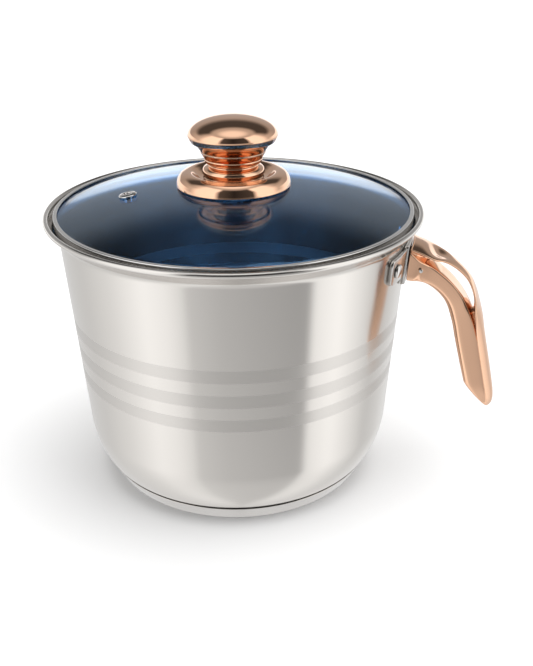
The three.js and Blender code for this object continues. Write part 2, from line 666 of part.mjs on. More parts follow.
// The mushroom cap: a hollow dome whose lip closes round the top of the cone.
function knobCap() {
  const domeSteps = 7;
  const dome = (radius, height) => Array.from({ length: domeSteps + 1 }, (_, i) => {
    const angle = (Math.PI / 2) * i / domeSteps;
    return [i === domeSteps ? 0 : radius * Math.cos(angle), capWidest + height * Math.sin(angle)];
  });
  const lipRadius = coneRadius + fitGap;
  return named('knob_cap', turned([
    [lipRadius, capWidest - capLip], [lipRadius + 1, capWidest - capLip + 0.2],
    [capRadius - 0.6, capWidest - 0.5 * capLip], ...dome(capRadius, capDome),
    ...dome(capRadius - capShell, capDome - capShell).reverse(),
    [lipRadius, capWidest - 0.4 * capLip],
  ], knobSegments), roseGold());
}

// Threaded core: a disc held inside the cap and a stem down through cone and collar.
const knobCore = () => named('knob_core', turned([
  [threadBore, coreStemBase], [coreStem, coreStemBase], [coreStem, coreHeadBase],
  [coreHeadRadius, coreHeadBase], [coreHeadRadius, coreHeadBase + coreHeadThickness],
  [0, coreHeadBase + coreHeadThickness], [0, screwTip + fitGap], [threadBore, screwTip + fitGap],
], knobSegments), zinc());

function knobScrew() {
  const head = screwHeadTop - screwHeadHeight;
  return named('knob_screw', turned([
    [0, head], [screwHead - 0.8, head], [screwHead, head + 0.8], [screwHead, screwHeadTop],
    [screwShank, screwHeadTop], [screwShank, screwTip - 0.6], [screwShank - 0.6, screwTip], [0, screwTip],
  ], boltSegments), brightSteel());
}

const screwWasher = () => named('screw_washer',
  ring(threadBore, washerRadius, washerTop - washerThickness, washerTop, boltSegments), brightSteel());
const lowerGasket = () => named('lower_gasket',
  ring(threadBore, lowerGasketRadius, lowerGasketTop - gasketThickness, lowerGasketTop, boltSegments),
  silicone());
const upperGasket = () => named('upper_gasket',
  ring(threadBore, upperGasketRadius, upperGasketBase, upperGasketBase + gasketThickness, boltSegments),
  silicone());

// ---------------------------------------------------------------- assembly
const pan = new THREE.Group();
pan.add(panShell(), baseCap(), baseCore(), handleBracket(),
  bracketRivet('bracket_rivet_front', -1), bracketRivet('bracket_rivet_rear', 1),
  handleGrip(), handlePin());

const lid = new THREE.Group();
lid.add(lidGlass(), lidHoop(), ventEyelet(), knobFlange(), knobNeck(), knobCone(), knobCap(),
  knobCore(), knobScrew(), screwWasher(), lowerGasket(), upperGasket());

const group = new THREE.Group();
group.add(pan, lid);

export default group;
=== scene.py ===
"""Looks of a 16 cm stainless saucepan with a tinted glass lid and rose-gold fittings."""

import logging
import math
from dataclasses import dataclass, field
from enum import Enum

import bmesh
import bpy
from mathutils import Matrix, Vector


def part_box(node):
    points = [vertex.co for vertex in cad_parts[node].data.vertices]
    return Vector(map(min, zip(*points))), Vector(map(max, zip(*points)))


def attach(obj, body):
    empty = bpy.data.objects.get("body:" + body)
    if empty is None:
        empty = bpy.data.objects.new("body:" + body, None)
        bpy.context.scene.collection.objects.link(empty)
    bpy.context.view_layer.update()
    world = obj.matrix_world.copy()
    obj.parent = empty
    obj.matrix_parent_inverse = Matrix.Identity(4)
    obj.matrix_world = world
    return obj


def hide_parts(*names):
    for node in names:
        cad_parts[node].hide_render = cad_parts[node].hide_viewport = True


logging.basicConfig(level=logging.INFO, format="%(message)s")
log = logging.getLogger("saucepan")

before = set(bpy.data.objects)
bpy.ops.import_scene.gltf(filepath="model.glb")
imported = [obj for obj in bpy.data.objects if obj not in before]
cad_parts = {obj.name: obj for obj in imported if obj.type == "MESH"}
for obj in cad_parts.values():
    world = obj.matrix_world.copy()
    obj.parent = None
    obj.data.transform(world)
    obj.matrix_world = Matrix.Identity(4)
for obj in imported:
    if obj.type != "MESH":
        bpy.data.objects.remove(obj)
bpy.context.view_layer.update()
MM = 0.001
GAP = 0.3 * MM
CORNER_STEPS = 7
CORNER_SHARE = 0.45
HOLD = 0.25 * MM

Point = tuple[float, float]
Ring = list[Vector]


# ---------------------------------------------------------------- shapes
def quarter(steps: int) -> list[float]:
    """Angles of a quarter turn in radians, first and last included."""
    return [math.pi / 2 * i / steps for i in range(steps + 1)]


def arc(centre: Point, radius: float, start: float, end: float, steps: int) -> list[Point]:
    """Points on an arc.

    Args:
        centre: Radius and height of the arc's centre.
        radius: Radius of the arc.
        start: First angle in degrees, from straight outward.
        end: Last angle in degrees.
        steps: Number of steps along the arc.

    Returns:
        The points, first and last included.
    """
    angles = [math.radians(start + (end - start) * i / steps) for i in range(steps + 1)]
    return [(centre[0] + radius * math.cos(a), centre[1] + radius * math.sin(a)) for a in angles]


def rounded(corners: list[tuple[float, float, float]], closed: bool = True) -> list[Point]:
    """Rounds each corner of an outline and holds its straights flat with extra points.

    Args:
        corners: Radius, height and rounding of each corner.
        closed: Whether the last corner runs back to the first.

    Returns:
        The points of the rounded outline, with the first repeated when closed.
    """
    count = len(corners)
    made: list[Vector] = []
    for i, (r, z, fillet) in enumerate(corners):
        here = Vector((r, z))
        ends = not closed and i in (0, count - 1)
        if fillet <= 0 or ends:
            made.append(here)
            continue
        before = Vector(corners[i - 1][:2]) - here
        after = Vector(corners[(i + 1) % count][:2]) - here
        reach = min(fillet, CORNER_SHARE * before.length, CORNER_SHARE * after.length)
        a, b = here + before.normalized() * reach, here + after.normalized() * reach
        for k in range(CORNER_STEPS + 1):
            t = k / CORNER_STEPS
            made.append(a * (1 - t) ** 2 + here * 2 * t * (1 - t) + b * t * t)
    if closed:
        made.append(made[0].copy())
    held: list[Point] = [tuple(made[0])]
    for a, b in zip(made, made[1:]):
        length = (b - a).length
        if length > 5 * HOLD:
            held += [tuple(a + (b - a) * HOLD / length), tuple(b - (b - a) * HOLD / length)]
        held.append(tuple(b))
    return held


def smooth_through(points: list[Point], steps: int) -> list[Point]:
    """A smooth curve through a few points.

    Args:
        points: Radius and height of each point on the curve.
        steps: Number of steps between neighbours.

    Returns:
        The points of the curve, first and last included.
    """
    ends = [points[0], *points, points[-1]]
    curve: list[Point] = []
    for p0, p1, p2, p3 in zip(ends, ends[1:], ends[2:], ends[3:]):
        for k in range(steps):
            t = k / steps
            curve.append(tuple(
                0.5 * (2 * b + t * (c - a + t * (2 * a - 5 * b + 4 * c - d + t * (3 * b - a - 3 * c + d))))
                for a, b, c, d in zip(p0, p1, p2, p3)))
    return [*curve, points[-1]]


def follow(stops: list[tuple[float, ...]], s: float) -> list[float]:
    """Smooth values through stops.

    Args:
        stops: A distance followed by the values there, in order of distance.
        s: The distance wanted; beyond the ends the values stay level.

    Returns:
        The values at that distance.
    """
    last = len(stops) - 1
    at = min(max(s, stops[0][0]), stops[last][0])
    first = max(i for i in range(last) if stops[i][0] <= at)
    before, start = stops[max(first - 1, 0)], stops[first]
    end, after = stops[first + 1], stops[min(first + 2, last)]
    span = end[0] - start[0]
    t = (at - start[0]) / span
    values = []
    for k in range(1, len(start)):
        m0 = span * (end[k] - before[k]) / (end[0] - before[0])
        m1 = span * (after[k] - start[k]) / (after[0] - start[0])
        rise = end[k] - start[k]
        values.append(start[k] + t * (m0 + t * (3 * rise - 2 * m0 - m1 + t * (m0 + m1 - 2 * rise))))
    return values


# ---------------------------------------------------------------- node trees
class Graph:
    """A node tree with short ways to add and join nodes."""

    def __init__(self, tree: bpy.types.NodeTree) -> None:
        """Wraps a tree."""
        self.tree = tree

    def add(self, kind: str, settings: dict | None = None, **inputs: object) -> bpy.types.Node:
        """Adds a node.

        Args:
            kind: The node's type name.
            settings: Properties of the node.
            inputs: Values or sockets by input name, with underscores for spaces, or in<number>.

        Returns:
            The node.
        """
        node = self.tree.nodes.new(kind)
        for name, value in (settings or {}).items():
            setattr(node, name, value)
        for name, value in inputs.items():
            socket = node.inputs[int(name[2:])] if name[:2] == "in" and name[2:].isdigit() \
                else node.inputs[name.replace("_", " ")]
            if isinstance(value, bpy.types.NodeSocket):
                self.tree.links.new(value, socket)
            else:
                socket.default_value = value
        return node

    def math(self, operation: str, *values: object) -> bpy.types.NodeSocket:
        """Adds a maths node and returns its result."""
        inputs = {f"in{i}": value for i, value in enumerate(values)}
        return self.add("ShaderNodeMath", {"operation": operation}, **inputs).outputs[0]

    def step(self, value: object, low: float, high: float,
             start: float = 0.0, end: float = 1.0) -> bpy.types.NodeSocket:
        """A soft step of a value from one level to another.

        Args:
            value: The value or socket that is read.
            low: Where the step begins; it may lie above high, which turns the step over.
            high: Where the step ends.
            start: Level before the step.
            end: Level after the step.

        Returns:
            The level's socket.
        """
        node = self.add("ShaderNodeMapRange", {"interpolation_type": "SMOOTHSTEP"},
                        in0=value, in1=low, in2=high, in3=start, in4=end)
        return node.outputs[0]

    def blend(self, share: object, first: object, second: object) -> bpy.types.NodeSocket:
        """A blend of two plain values."""
        return self.add("ShaderNodeMix", in0=share, in2=first, in3=second).outputs[0]

    def mix(self, share: object, first: object, second: object) -> bpy.types.NodeSocket:
        """A blend of two colours."""
        node = self.add("ShaderNodeMix", {"data_type": "RGBA"}, in0=share, in6=first, in7=second)
        return node.outputs[2]


def tree_with(name: str, sockets: list[tuple[str, str]]) -> tuple[Graph, bpy.types.Node]:
    """A geometry tree with named inputs and one geometry output.

    Args:
        name: The tree's name.
        sockets: Name and type of each input after the geometry.

    Returns:
        The graph and its input node.
    """
    tree = bpy.data.node_groups.new(name, "GeometryNodeTree")
    tree.interface.new_socket("Geometry", in_out="INPUT", socket_type="NodeSocketGeometry")
    for label, kind in sockets:
        tree.interface.new_socket(label, in_out="INPUT", socket_type=kind)
    tree.interface.new_socket("Geometry", in_out="OUTPUT", socket_type="NodeSocketGeometry")
    graph = Graph(tree)
    return graph, graph.add("NodeGroupInput")


def close_tree(graph: Graph, geometry: bpy.types.NodeSocket, finish: bpy.types.NodeSocket) -> None:
    """Ends a geometry tree: instances made real and the finish set.

    Args:
        graph: The tree's graph.
        geometry: The geometry so far.
        finish: The input that holds the finish.
    """
    real = graph.add("GeometryNodeRealizeInstances", Geometry=geometry)
    done = graph.add("GeometryNodeSetMaterial", Geometry=real.outputs[0], Material=finish)
    graph.add("NodeGroupOutput", Geometry=done.outputs[0])


def turned_tree() -> bpy.types.NodeTree:
    """Turns a profile, held as points of radius and height, once round the upright axis.

    Returns:
        The tree, with the inputs Facets and Finish.
    """
    graph, given = tree_with("turned", [("Facets", "NodeSocketInt"), ("Finish", "NodeSocketMaterial")])
    facets = given.outputs["Facets"]
    columns = graph.math("ADD", facets, 1.0)
    count = graph.add("GeometryNodeAttributeDomainSize", Geometry=given.outputs["Geometry"]).outputs[0]
    grid = graph.add("GeometryNodeMeshGrid", Vertices_X=count, Vertices_Y=columns)
    index = graph.add("GeometryNodeInputIndex").outputs[0]
    row = graph.math("FLOOR", graph.math("DIVIDE", graph.math("ADD", index, 0.5), columns))
    column = graph.math("SUBTRACT", index, graph.math("MULTIPLY", row, columns))
    angle = graph.math("MULTIPLY", column, graph.math("DIVIDE", 2 * math.pi, facets))
    place = graph.add("GeometryNodeInputPosition").outputs[0]
    sample = graph.add("GeometryNodeSampleIndex", {"data_type": "FLOAT_VECTOR"},
                       Geometry=given.outputs["Geometry"], Value=place, Index=row)
    parts = graph.add("ShaderNodeSeparateXYZ", Vector=sample.outputs[0])
    spot = graph.add(
        "ShaderNodeCombineXYZ",
        X=graph.math("MULTIPLY", parts.outputs["X"], graph.math("COSINE", angle)),
        Y=graph.math("MULTIPLY", parts.outputs["X"], graph.math("SINE", angle)),
        Z=parts.outputs["Z"])
    moved = graph.add("GeometryNodeSetPosition", Geometry=grid.outputs[0], Position=spot.outputs[0])
    merged = graph.add("GeometryNodeMergeByDistance", Geometry=moved.outputs[0], Distance=0.004 * MM)
    smooth = graph.add("GeometryNodeSetShadeSmooth", Geometry=merged.outputs[0])
    close_tree(graph, smooth.outputs[0], given.outputs["Finish"])
    return graph.tree


def rivets_tree() -> bpy.types.NodeTree:
    """Sets a pair of rivets into the wall, each side of the handle and square to the wall.

    Returns:
        The tree, with the inputs Spread, Wall Radius, Height, Lean and Finish.
    """
    graph, given = tree_with("rivets", [
        ("Spread", "NodeSocketFloat"), ("Wall Radius", "NodeSocketFloat"),
        ("Height", "NodeSocketFloat"), ("Lean", "NodeSocketFloat"), ("Finish", "NodeSocketMaterial")])
    index = graph.add("GeometryNodeInputIndex").outputs[0]
    side = graph.math("MULTIPLY_ADD", index, 2.0, -1.0)
    angle = graph.math("MULTIPLY", side, given.outputs["Spread"])
    radius = given.outputs["Wall Radius"]
    spot = graph.add(
        "ShaderNodeCombineXYZ",
        X=graph.math("MULTIPLY", radius, graph.math("COSINE", angle)),
        Y=graph.math("MULTIPLY", radius, graph.math("SINE", angle)),
        Z=given.outputs["Height"])
    points = graph.add("GeometryNodePoints", Count=2, Position=spot.outputs[0])
    turn = graph.add("ShaderNodeCombineXYZ",
                     Y=graph.math("ADD", given.outputs["Lean"], math.pi / 2), Z=angle)
    rotation = graph.add("FunctionNodeEulerToRotation", in0=turn.outputs[0])
    placed = graph.add("GeometryNodeInstanceOnPoints", Points=points.outputs[0],
                       Instance=given.outputs["Geometry"], Rotation=rotation.outputs[0])
    close_tree(graph, placed.outputs[0], given.outputs["Finish"])
    return graph.tree


class Workshop:
    """Makes finished meshes from profiles, rings and node trees."""

    def __init__(self) -> None:
        """Makes the two node trees once."""
        self.turned = turned_tree()
        self.rivets = rivets_tree()

    @staticmethod
    def run(piece: bpy.types.Object, tree: bpy.types.NodeTree, values: dict[str, object]) -> None:
        """Runs a node tree on a piece and keeps the result as a plain mesh.

        Args:
            piece: The piece that the tree works on.
            tree: The node tree.
            values: A value for each of the tree's named inputs.
        """
        modifier = piece.modifiers.new(tree.name, "NODES")
        modifier.node_group = tree
        for item in tree.interface.items_tree:
            if item.in_out == "INPUT" and item.name in values:
                modifier[item.identifier] = values[item.name]
        Workshop.settle(piece)

    @staticmethod
    def settle(piece: bpy.types.Object) -> None:
        """Turns a piece with modifiers into a plain mesh with outward faces.

        Args:
            piece: The piece; its modifiers are applied and removed.
        """
        graph = bpy.context.evaluated_depsgraph_get()
        mesh = bpy.data.meshes.new_from_object(piece.evaluated_get(graph), depsgraph=graph)
        mesh.name = piece.name
        piece.modifiers.clear()
        piece.data = mesh
        edit = bmesh.new()
        edit.from_mesh(mesh)
        bmesh.ops.recalc_face_normals(edit, faces=edit.faces)
        edit.to_mesh(mesh)
        edit.free()

    @staticmethod
    def mesh(name: str, points: list[Vector], faces: list[tuple[int, ...]]) -> bpy.types.Object:
        """A mesh object in the scene.

        Args:
            name: The object's name.
            points: Its points.
            faces: The point numbers of each face.

        Returns:
            The object, at the origin.
        """
        data = bpy.data.meshes.new(name)
        data.from_pydata([tuple(p) for p in points], [], faces)
        piece = bpy.data.objects.new(name, data)
        bpy.context.scene.collection.objects.link(piece)
        return piece

    def turn(self, name: str, profile: list[Point], finish: bpy.types.Material,
             facets: int = 192) -> bpy.types.Object:
        """A piece turned from its profile.

        Args:
            name: The piece's name.
            profile: Points of radius and height, from the bottom outside up and back inside.
            finish: The piece's material.
            facets: Number of facets round.

        Returns:
            The piece as a plain mesh.
        """
        piece = self.mesh(name, [Vector((r, 0, z)) for r, z in profile], [])
        self.run(piece, self.turned, {"Facets": facets, "Finish": finish})
        return piece

    def loft(self, name: str, rings: list[Ring], finish: bpy.types.Material) -> bpy.types.Object:
        """A closed skin through rings of equal point counts, capped at both ends.

        Args:
            name: The piece's name.
            rings: The rings in order.
            finish: The piece's material.

        Returns:
            The piece as a plain mesh.
        """
        size = len(rings[0])
        points = [p for ring in rings for p in ring]
        faces = [(i * size + k, i * size + (k + 1) % size,
                  (i + 1) * size + (k + 1) % size, (i + 1) * size + k)
                 for i in range(len(rings) - 1) for k in range(size)]
        last = (len(rings) - 1) * size
        faces += [tuple(range(size))[::-1], tuple(range(last, last + size))]
        piece = self.mesh(name, points, faces)
        piece.data.materials.append(finish)
        piece.data.shade_smooth()
        self.settle(piece)
        return piece


# ---------------------------------------------------------------- finishes
class Slot(Enum):
    """Material slots of the record."""

    PAN = "pan_steel"
    BASE = "base_steel"
    CORE = "core_aluminium"
    BRACKET = "bracket_steel"
    RIVET = "rivet_steel"
    HANDLE = "handle_rose_gold"
    KNOB = "knob_rose_gold"
    GLASS = "lid_glass"
    HOOP = "hoop_steel"
    ZINC = "core_zinc"
    SILICONE = "silicone"


@dataclass(frozen=True)
class Finish:
    """A finish: colour, metal share, roughness and a fine grain."""

    slot: Slot
    colour: tuple[float, float, float]
    metal: float = 1.0
    roughness: float = 0.1
    grain: float = 0.0
    grain_scale: tuple[float, float, float] = (200.0, 200.0, 200.0)
    shade: float = 0.94

    def build(self) -> bpy.types.Material:
        """Makes the material.

        Returns:
            The material, named after its slot.
        """
        material = bpy.data.materials.new(self.slot.value)
        material.use_nodes = True
        graph = Graph(material.node_tree)
        shader = material.node_tree.nodes["Principled BSDF"]
        shader.inputs["Metallic"].default_value = self.metal
        self.dress(graph, shader)
        return material

    def toned(self, share: float) -> tuple[float, ...]:
        """The colour at a share of its brightness."""
        return (*(share * c for c in self.colour), 1)

    @staticmethod
    def noise(graph: Graph, place: bpy.types.NodeSocket, scale: tuple[float, float, float],
              detail: float) -> bpy.types.NodeSocket:
        """Noise in the piece's own space.

        Args:
            graph: The material's graph.
            place: The Object coordinates.
            scale: How fine the noise is along each axis.
            detail: Detail of the noise.

        Returns:
            The noise's socket.
        """
        mapped = graph.add("ShaderNodeMapping", Vector=place, Scale=scale)
        return graph.add("ShaderNodeTexNoise", Vector=mapped.outputs[0], Scale=1.0, Detail=detail).outputs[0]

    def grained(self, graph: Graph) -> bpy.types.NodeSocket:
        """Noise stretched along this finish's grain."""
        place = graph.add("ShaderNodeTexCoord").outputs["Object"]
        return self.noise(graph, place, self.grain_scale, 3.0)

    def dress(self, graph: Graph, shader: bpy.types.Node) -> None:
        """Sets colour, roughness and grain.

        Args:
            graph: The material's graph.
            shader: Its surface shader.
        """
        noise = self.grained(graph)
        colour = graph.mix(noise, self.toned(self.shade), self.toned(1))
        rough = graph.step(noise, 0.2, 0.8, 0.85 * self.roughness, 1.15 * self.roughness)
        links = graph.tree.links
        links.new(colour, shader.inputs["Base Color"])
        links.new(rough, shader.inputs["Roughness"])
        if self.grain > 0:
            bump = graph.add("ShaderNodeBump", Height=noise, Strength=self.grain, Distance=0.05 * MM)
            links.new(bump.outputs[0], shader.inputs["Normal"])


@dataclass(frozen=True)
class BandedSteel(Finish):
    """Polished steel with satin bands brushed round it."""

    bands: tuple[Point, ...] = ()
    band_edge: float = 0.15 * MM
    band_roughness: float = 0.27
    brushing: tuple[float, float, float] = (30.0, 30.0, 6000.0)

    def dress(self, graph: Graph, shader: bpy.types.Node) -> None:
        """Sets polish between the bands and fine level brushing inside them.

        Args:
            graph: The material's graph.
            shader: Its surface shader.
        """
        place = graph.add("ShaderNodeTexCoord").outputs["Object"]
        height = graph.add("ShaderNodeSeparateXYZ", Vector=place).outputs["Z"]
        inside: object = 0.0
        for low, high in self.bands:
            rise = graph.step(height, low - self.band_edge, low + self.band_edge)
            fall = graph.step(height, high - self.band_edge, high + self.band_edge)
            inside = graph.math("ADD", inside, graph.math("SUBTRACT", rise, fall))
        lines = self.noise(graph, place, self.brushing, 2.0)
        links = graph.tree.links
        links.new(graph.mix(inside, self.toned(1), self.toned(self.shade)), shader.inputs["Base Color"])
        matte = graph.math("ADD", self.band_roughness, graph.math("MULTIPLY", lines, 0.05))
        links.new(graph.blend(inside, self.roughness, matte), shader.inputs["Roughness"])
        bump = graph.add("ShaderNodeBump", Height=lines, Distance=0.02 * MM,
                         Strength=graph.math("MULTIPLY", inside, 0.08))
        links.new(bump.outputs[0], shader.inputs["Normal"])
        shader.inputs["Anisotropic"].default_value = 0.8
        shader.inputs["Anisotropic Rotation"].default_value = 0.25
        tangent = graph.add("ShaderNodeTangent", {"direction_type": "RADIAL", "axis": "Z"})
        links.new(tangent.outputs[0], shader.inputs["Tangent"])


@dataclass(frozen=True)
class TintedGlass(Finish):
    """Clear tinted glass."""

    refraction: float = 1.47

    def dress(self, graph: Graph, shader: bpy.types.Node) -> None:
        """Sets tint, polish and transmission.

        Args:
            graph: The material's graph.
            shader: Its surface shader.
        """
        tint = graph.mix(self.grained(graph), self.toned(self.shade), self.toned(1))
        graph.tree.links.new(tint, shader.inputs["Base Color"])
        shader.inputs["Roughness"].default_value = self.roughness
        shader.inputs["Transmission Weight"].default_value = 1.0
        shader.inputs["IOR"].default_value = self.refraction


BAND_HEIGHTS = ((53.9 * MM, 59.9 * MM), (65.7 * MM, 71.9 * MM), (77.8 * MM, 83.9 * MM))
STEEL = (0.64, 0.615, 0.585)
ROSE_GOLD = (0.84, 0.52, 0.35)
FINISHES = (
    BandedSteel(Slot.PAN, STEEL, roughness=0.17, shade=0.92, bands=BAND_HEIGHTS),
    Finish(Slot.BASE, (0.60, 0.58, 0.56), roughness=0.22, grain=0.1, grain_scale=(40, 40, 4000)),
    Finish(Slot.CORE, (0.72, 0.72, 0.73), roughness=0.4, grain=0.3),
    Finish(Slot.BRACKET, (0.62, 0.60, 0.58), roughness=0.18, grain=0.05),
    Finish(Slot.RIVET, (0.66, 0.64, 0.62), roughness=0.14, grain=0.05),
    Finish(Slot.HANDLE, ROSE_GOLD, roughness=0.11, grain=0.03, grain_scale=(60, 60, 60)),
    Finish(Slot.KNOB, ROSE_GOLD, roughness=0.07, grain=0.02, grain_scale=(60, 60, 60)),
    TintedGlass(Slot.GLASS, (0.30, 0.58, 0.95), metal=0.0, roughness=0.01, shade=0.9),
    Finish(Slot.HOOP, (0.72, 0.71, 0.70), roughness=0.12, grain=0.05),
    Finish(Slot.ZINC, (0.55, 0.56, 0.57), roughness=0.35, grain=0.3),
    Finish(Slot.SILICONE, (0.72, 0.72, 0.70), metal=0.0, roughness=0.5, grain=0.2),
)


@dataclass
class Bench:
    """What every sub-assembly works with: the workshop and the finishes."""

    shop: Workshop = field(default_factory=Workshop)
    finishes: dict[Slot, bpy.types.Material] = field(
        default_factory=lambda: {f.slot: f.build() for f in FINISHES})

    def turn(self, name: str, profile: list[Point], slot: Slot, facets: int = 192) -> bpy.types.Object:
        """A piece turned from its profile, in the finish of its slot."""
        return self.shop.turn(name, profile, self.finishes[slot], facets)

    def fit(self, piece: bpy.types.Object, slot: Slot, body: str, *nodes: str) -> None:
        """Gives a piece its place in the part.

        Args:
            piece: The finished piece.
            slot: Its material slot; not used.
            body: The moving body that it rides on.
            nodes: The CAD nodes that it stands for.
        """
        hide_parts(*nodes)
        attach(piece, body)
        log.info("%s: %d faces", piece.name, len(piece.data.polygons))

    def carry_over(self, node: str, slot: Slot) -> None:
        """Dresses a hidden CAD node that is shown as it is.

        Args:
            node: The node's name.
            slot: Its material slot.
        """
        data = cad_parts[node].data
        data.materials.clear()
        data.materials.append(self.finishes[slot])
        log.info("%s: kept", node)


# ---------------------------------------------------------------- pan
@dataclass
class PanBody:
    """The rolled-rim shell, its bonded base and the disc between them."""

    bench: Bench
    taper: float = 0.072
    wall: float = 0.8 * MM
    bead: float = 1.25 * MM
    rim_drop: float = 7.3 * MM
    rim_overhang: float = 6.2 * MM
    belly: float = 43.6 * MM
    belly_top: float = 28.9 * MM
    belly_foot: float = 11.0 * MM

    def __post_init__(self) -> None:
        """Reads the shell's place from the frame."""
        low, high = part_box("pan_shell")
        self.foot, self.height, self.rim = low.z, high.z, high.x
        self.crease = (self.rim - self.rim_overhang, self.height - self.rim_drop)

    def wall_radius(self, z: float) -> float:
        """Radius of the outer face at a height."""
        return self.crease[0] + self.taper * (z - self.crease[1])

    def belly_points(self, inset: float) -> list[Point]:
        """The belly and bottom corner, from the cone down to the flat.

        Args:
            inset: How far the line lies inside the outer face.

        Returns:
            The points, top first.
        """
        lean = math.atan(self.taper)
        centre = (self.wall_radius(self.belly_top) - self.belly * math.cos(lean),
                  self.belly_top + self.belly * math.sin(lean))
        turn = math.asin((self.belly_foot - centre[1]) / self.belly)
        corner = (self.belly_foot - self.foot) / (1 + math.sin(turn))
        tight = (centre[0] + (self.belly - corner) * math.cos(turn), self.foot + corner)
        return [*arc(centre, self.belly - inset, -math.degrees(lean), math.degrees(turn), 26),
                *arc(tight, corner - inset, math.degrees(turn), -90, 14)[1:]]

    def shell_profile(self) -> list[Point]:
        """Underside, belly, wall, flare, rolled bead and the inside.

        Returns:
            The profile from the middle of the underside to the middle of the inside.
        """
        bead_at = (self.rim - self.bead, self.height - self.bead)
        run, rise = bead_at[0] - self.crease[0], bead_at[1] - self.crease[1]
        slope = math.degrees(math.atan2(rise, run))
        opening = math.degrees(math.asin(self.wall / 2 / self.bead))
        bead = arc(bead_at, self.bead, slope - 180 + opening, slope + 180 - opening, 30)
        crease_in = (self.crease[0] - self.wall, self.crease[1] + 0.45 * self.wall)
        bottom, inside = self.belly_points(0), self.belly_points(self.wall)
        outer = rounded([(*bottom[0], 0), (*self.crease, 1.6 * MM), (*bead[0], 0)], False)
        inner = rounded([(*bead[-1], 0), (*crease_in, 1.8 * MM), (*inside[0], 0)], False)
        return [(0, self.foot), *bottom[::-1], *outer[1:], *bead[1:], *inner[1:],
                *inside[1:], (0, self.foot + self.wall)]

    def cap_profile(self) -> list[Point]:
        """The bonded cap: floor with a shallow ring, rounded edge and tapered side.

        Returns:
            The profile from the middle of the underside to the middle of the inside.
        """
        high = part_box("base_cap")[1]
        out, top, skin = high.x, high.z, 0.6 * MM
        under = out - 4.1 * MM
        return rounded([
            (0, 0.2 * MM, 0), (under - 9 * MM, 0.2 * MM, 0.4 * MM), (under - 8.2 * MM, 0, 0.4 * MM),
            (under, 0, 1.5 * MM), (out, top, 0.25 * MM), (out - skin, top, 0.2 * MM),
            (under - skin, 1.2 * MM, 0.8 * MM), (under - 2 * skin, skin, 0.3 * MM), (0, skin + 0.2 * MM, 0),
        ], closed=False)

    def build(self) -> None:
        """Makes and dresses the three pieces."""
        shell = self.bench.turn("pan_shell_body", self.shell_profile(), Slot.PAN, 256)
        self.bench.fit(shell, Slot.PAN, "pan", "pan_shell")
        cap = self.bench.turn("base_cap_body", self.cap_profile(), Slot.BASE)
        self.bench.fit(cap, Slot.BASE, "pan", "base_cap")
        self.bench.carry_over("base_core_disc", Slot.CORE)


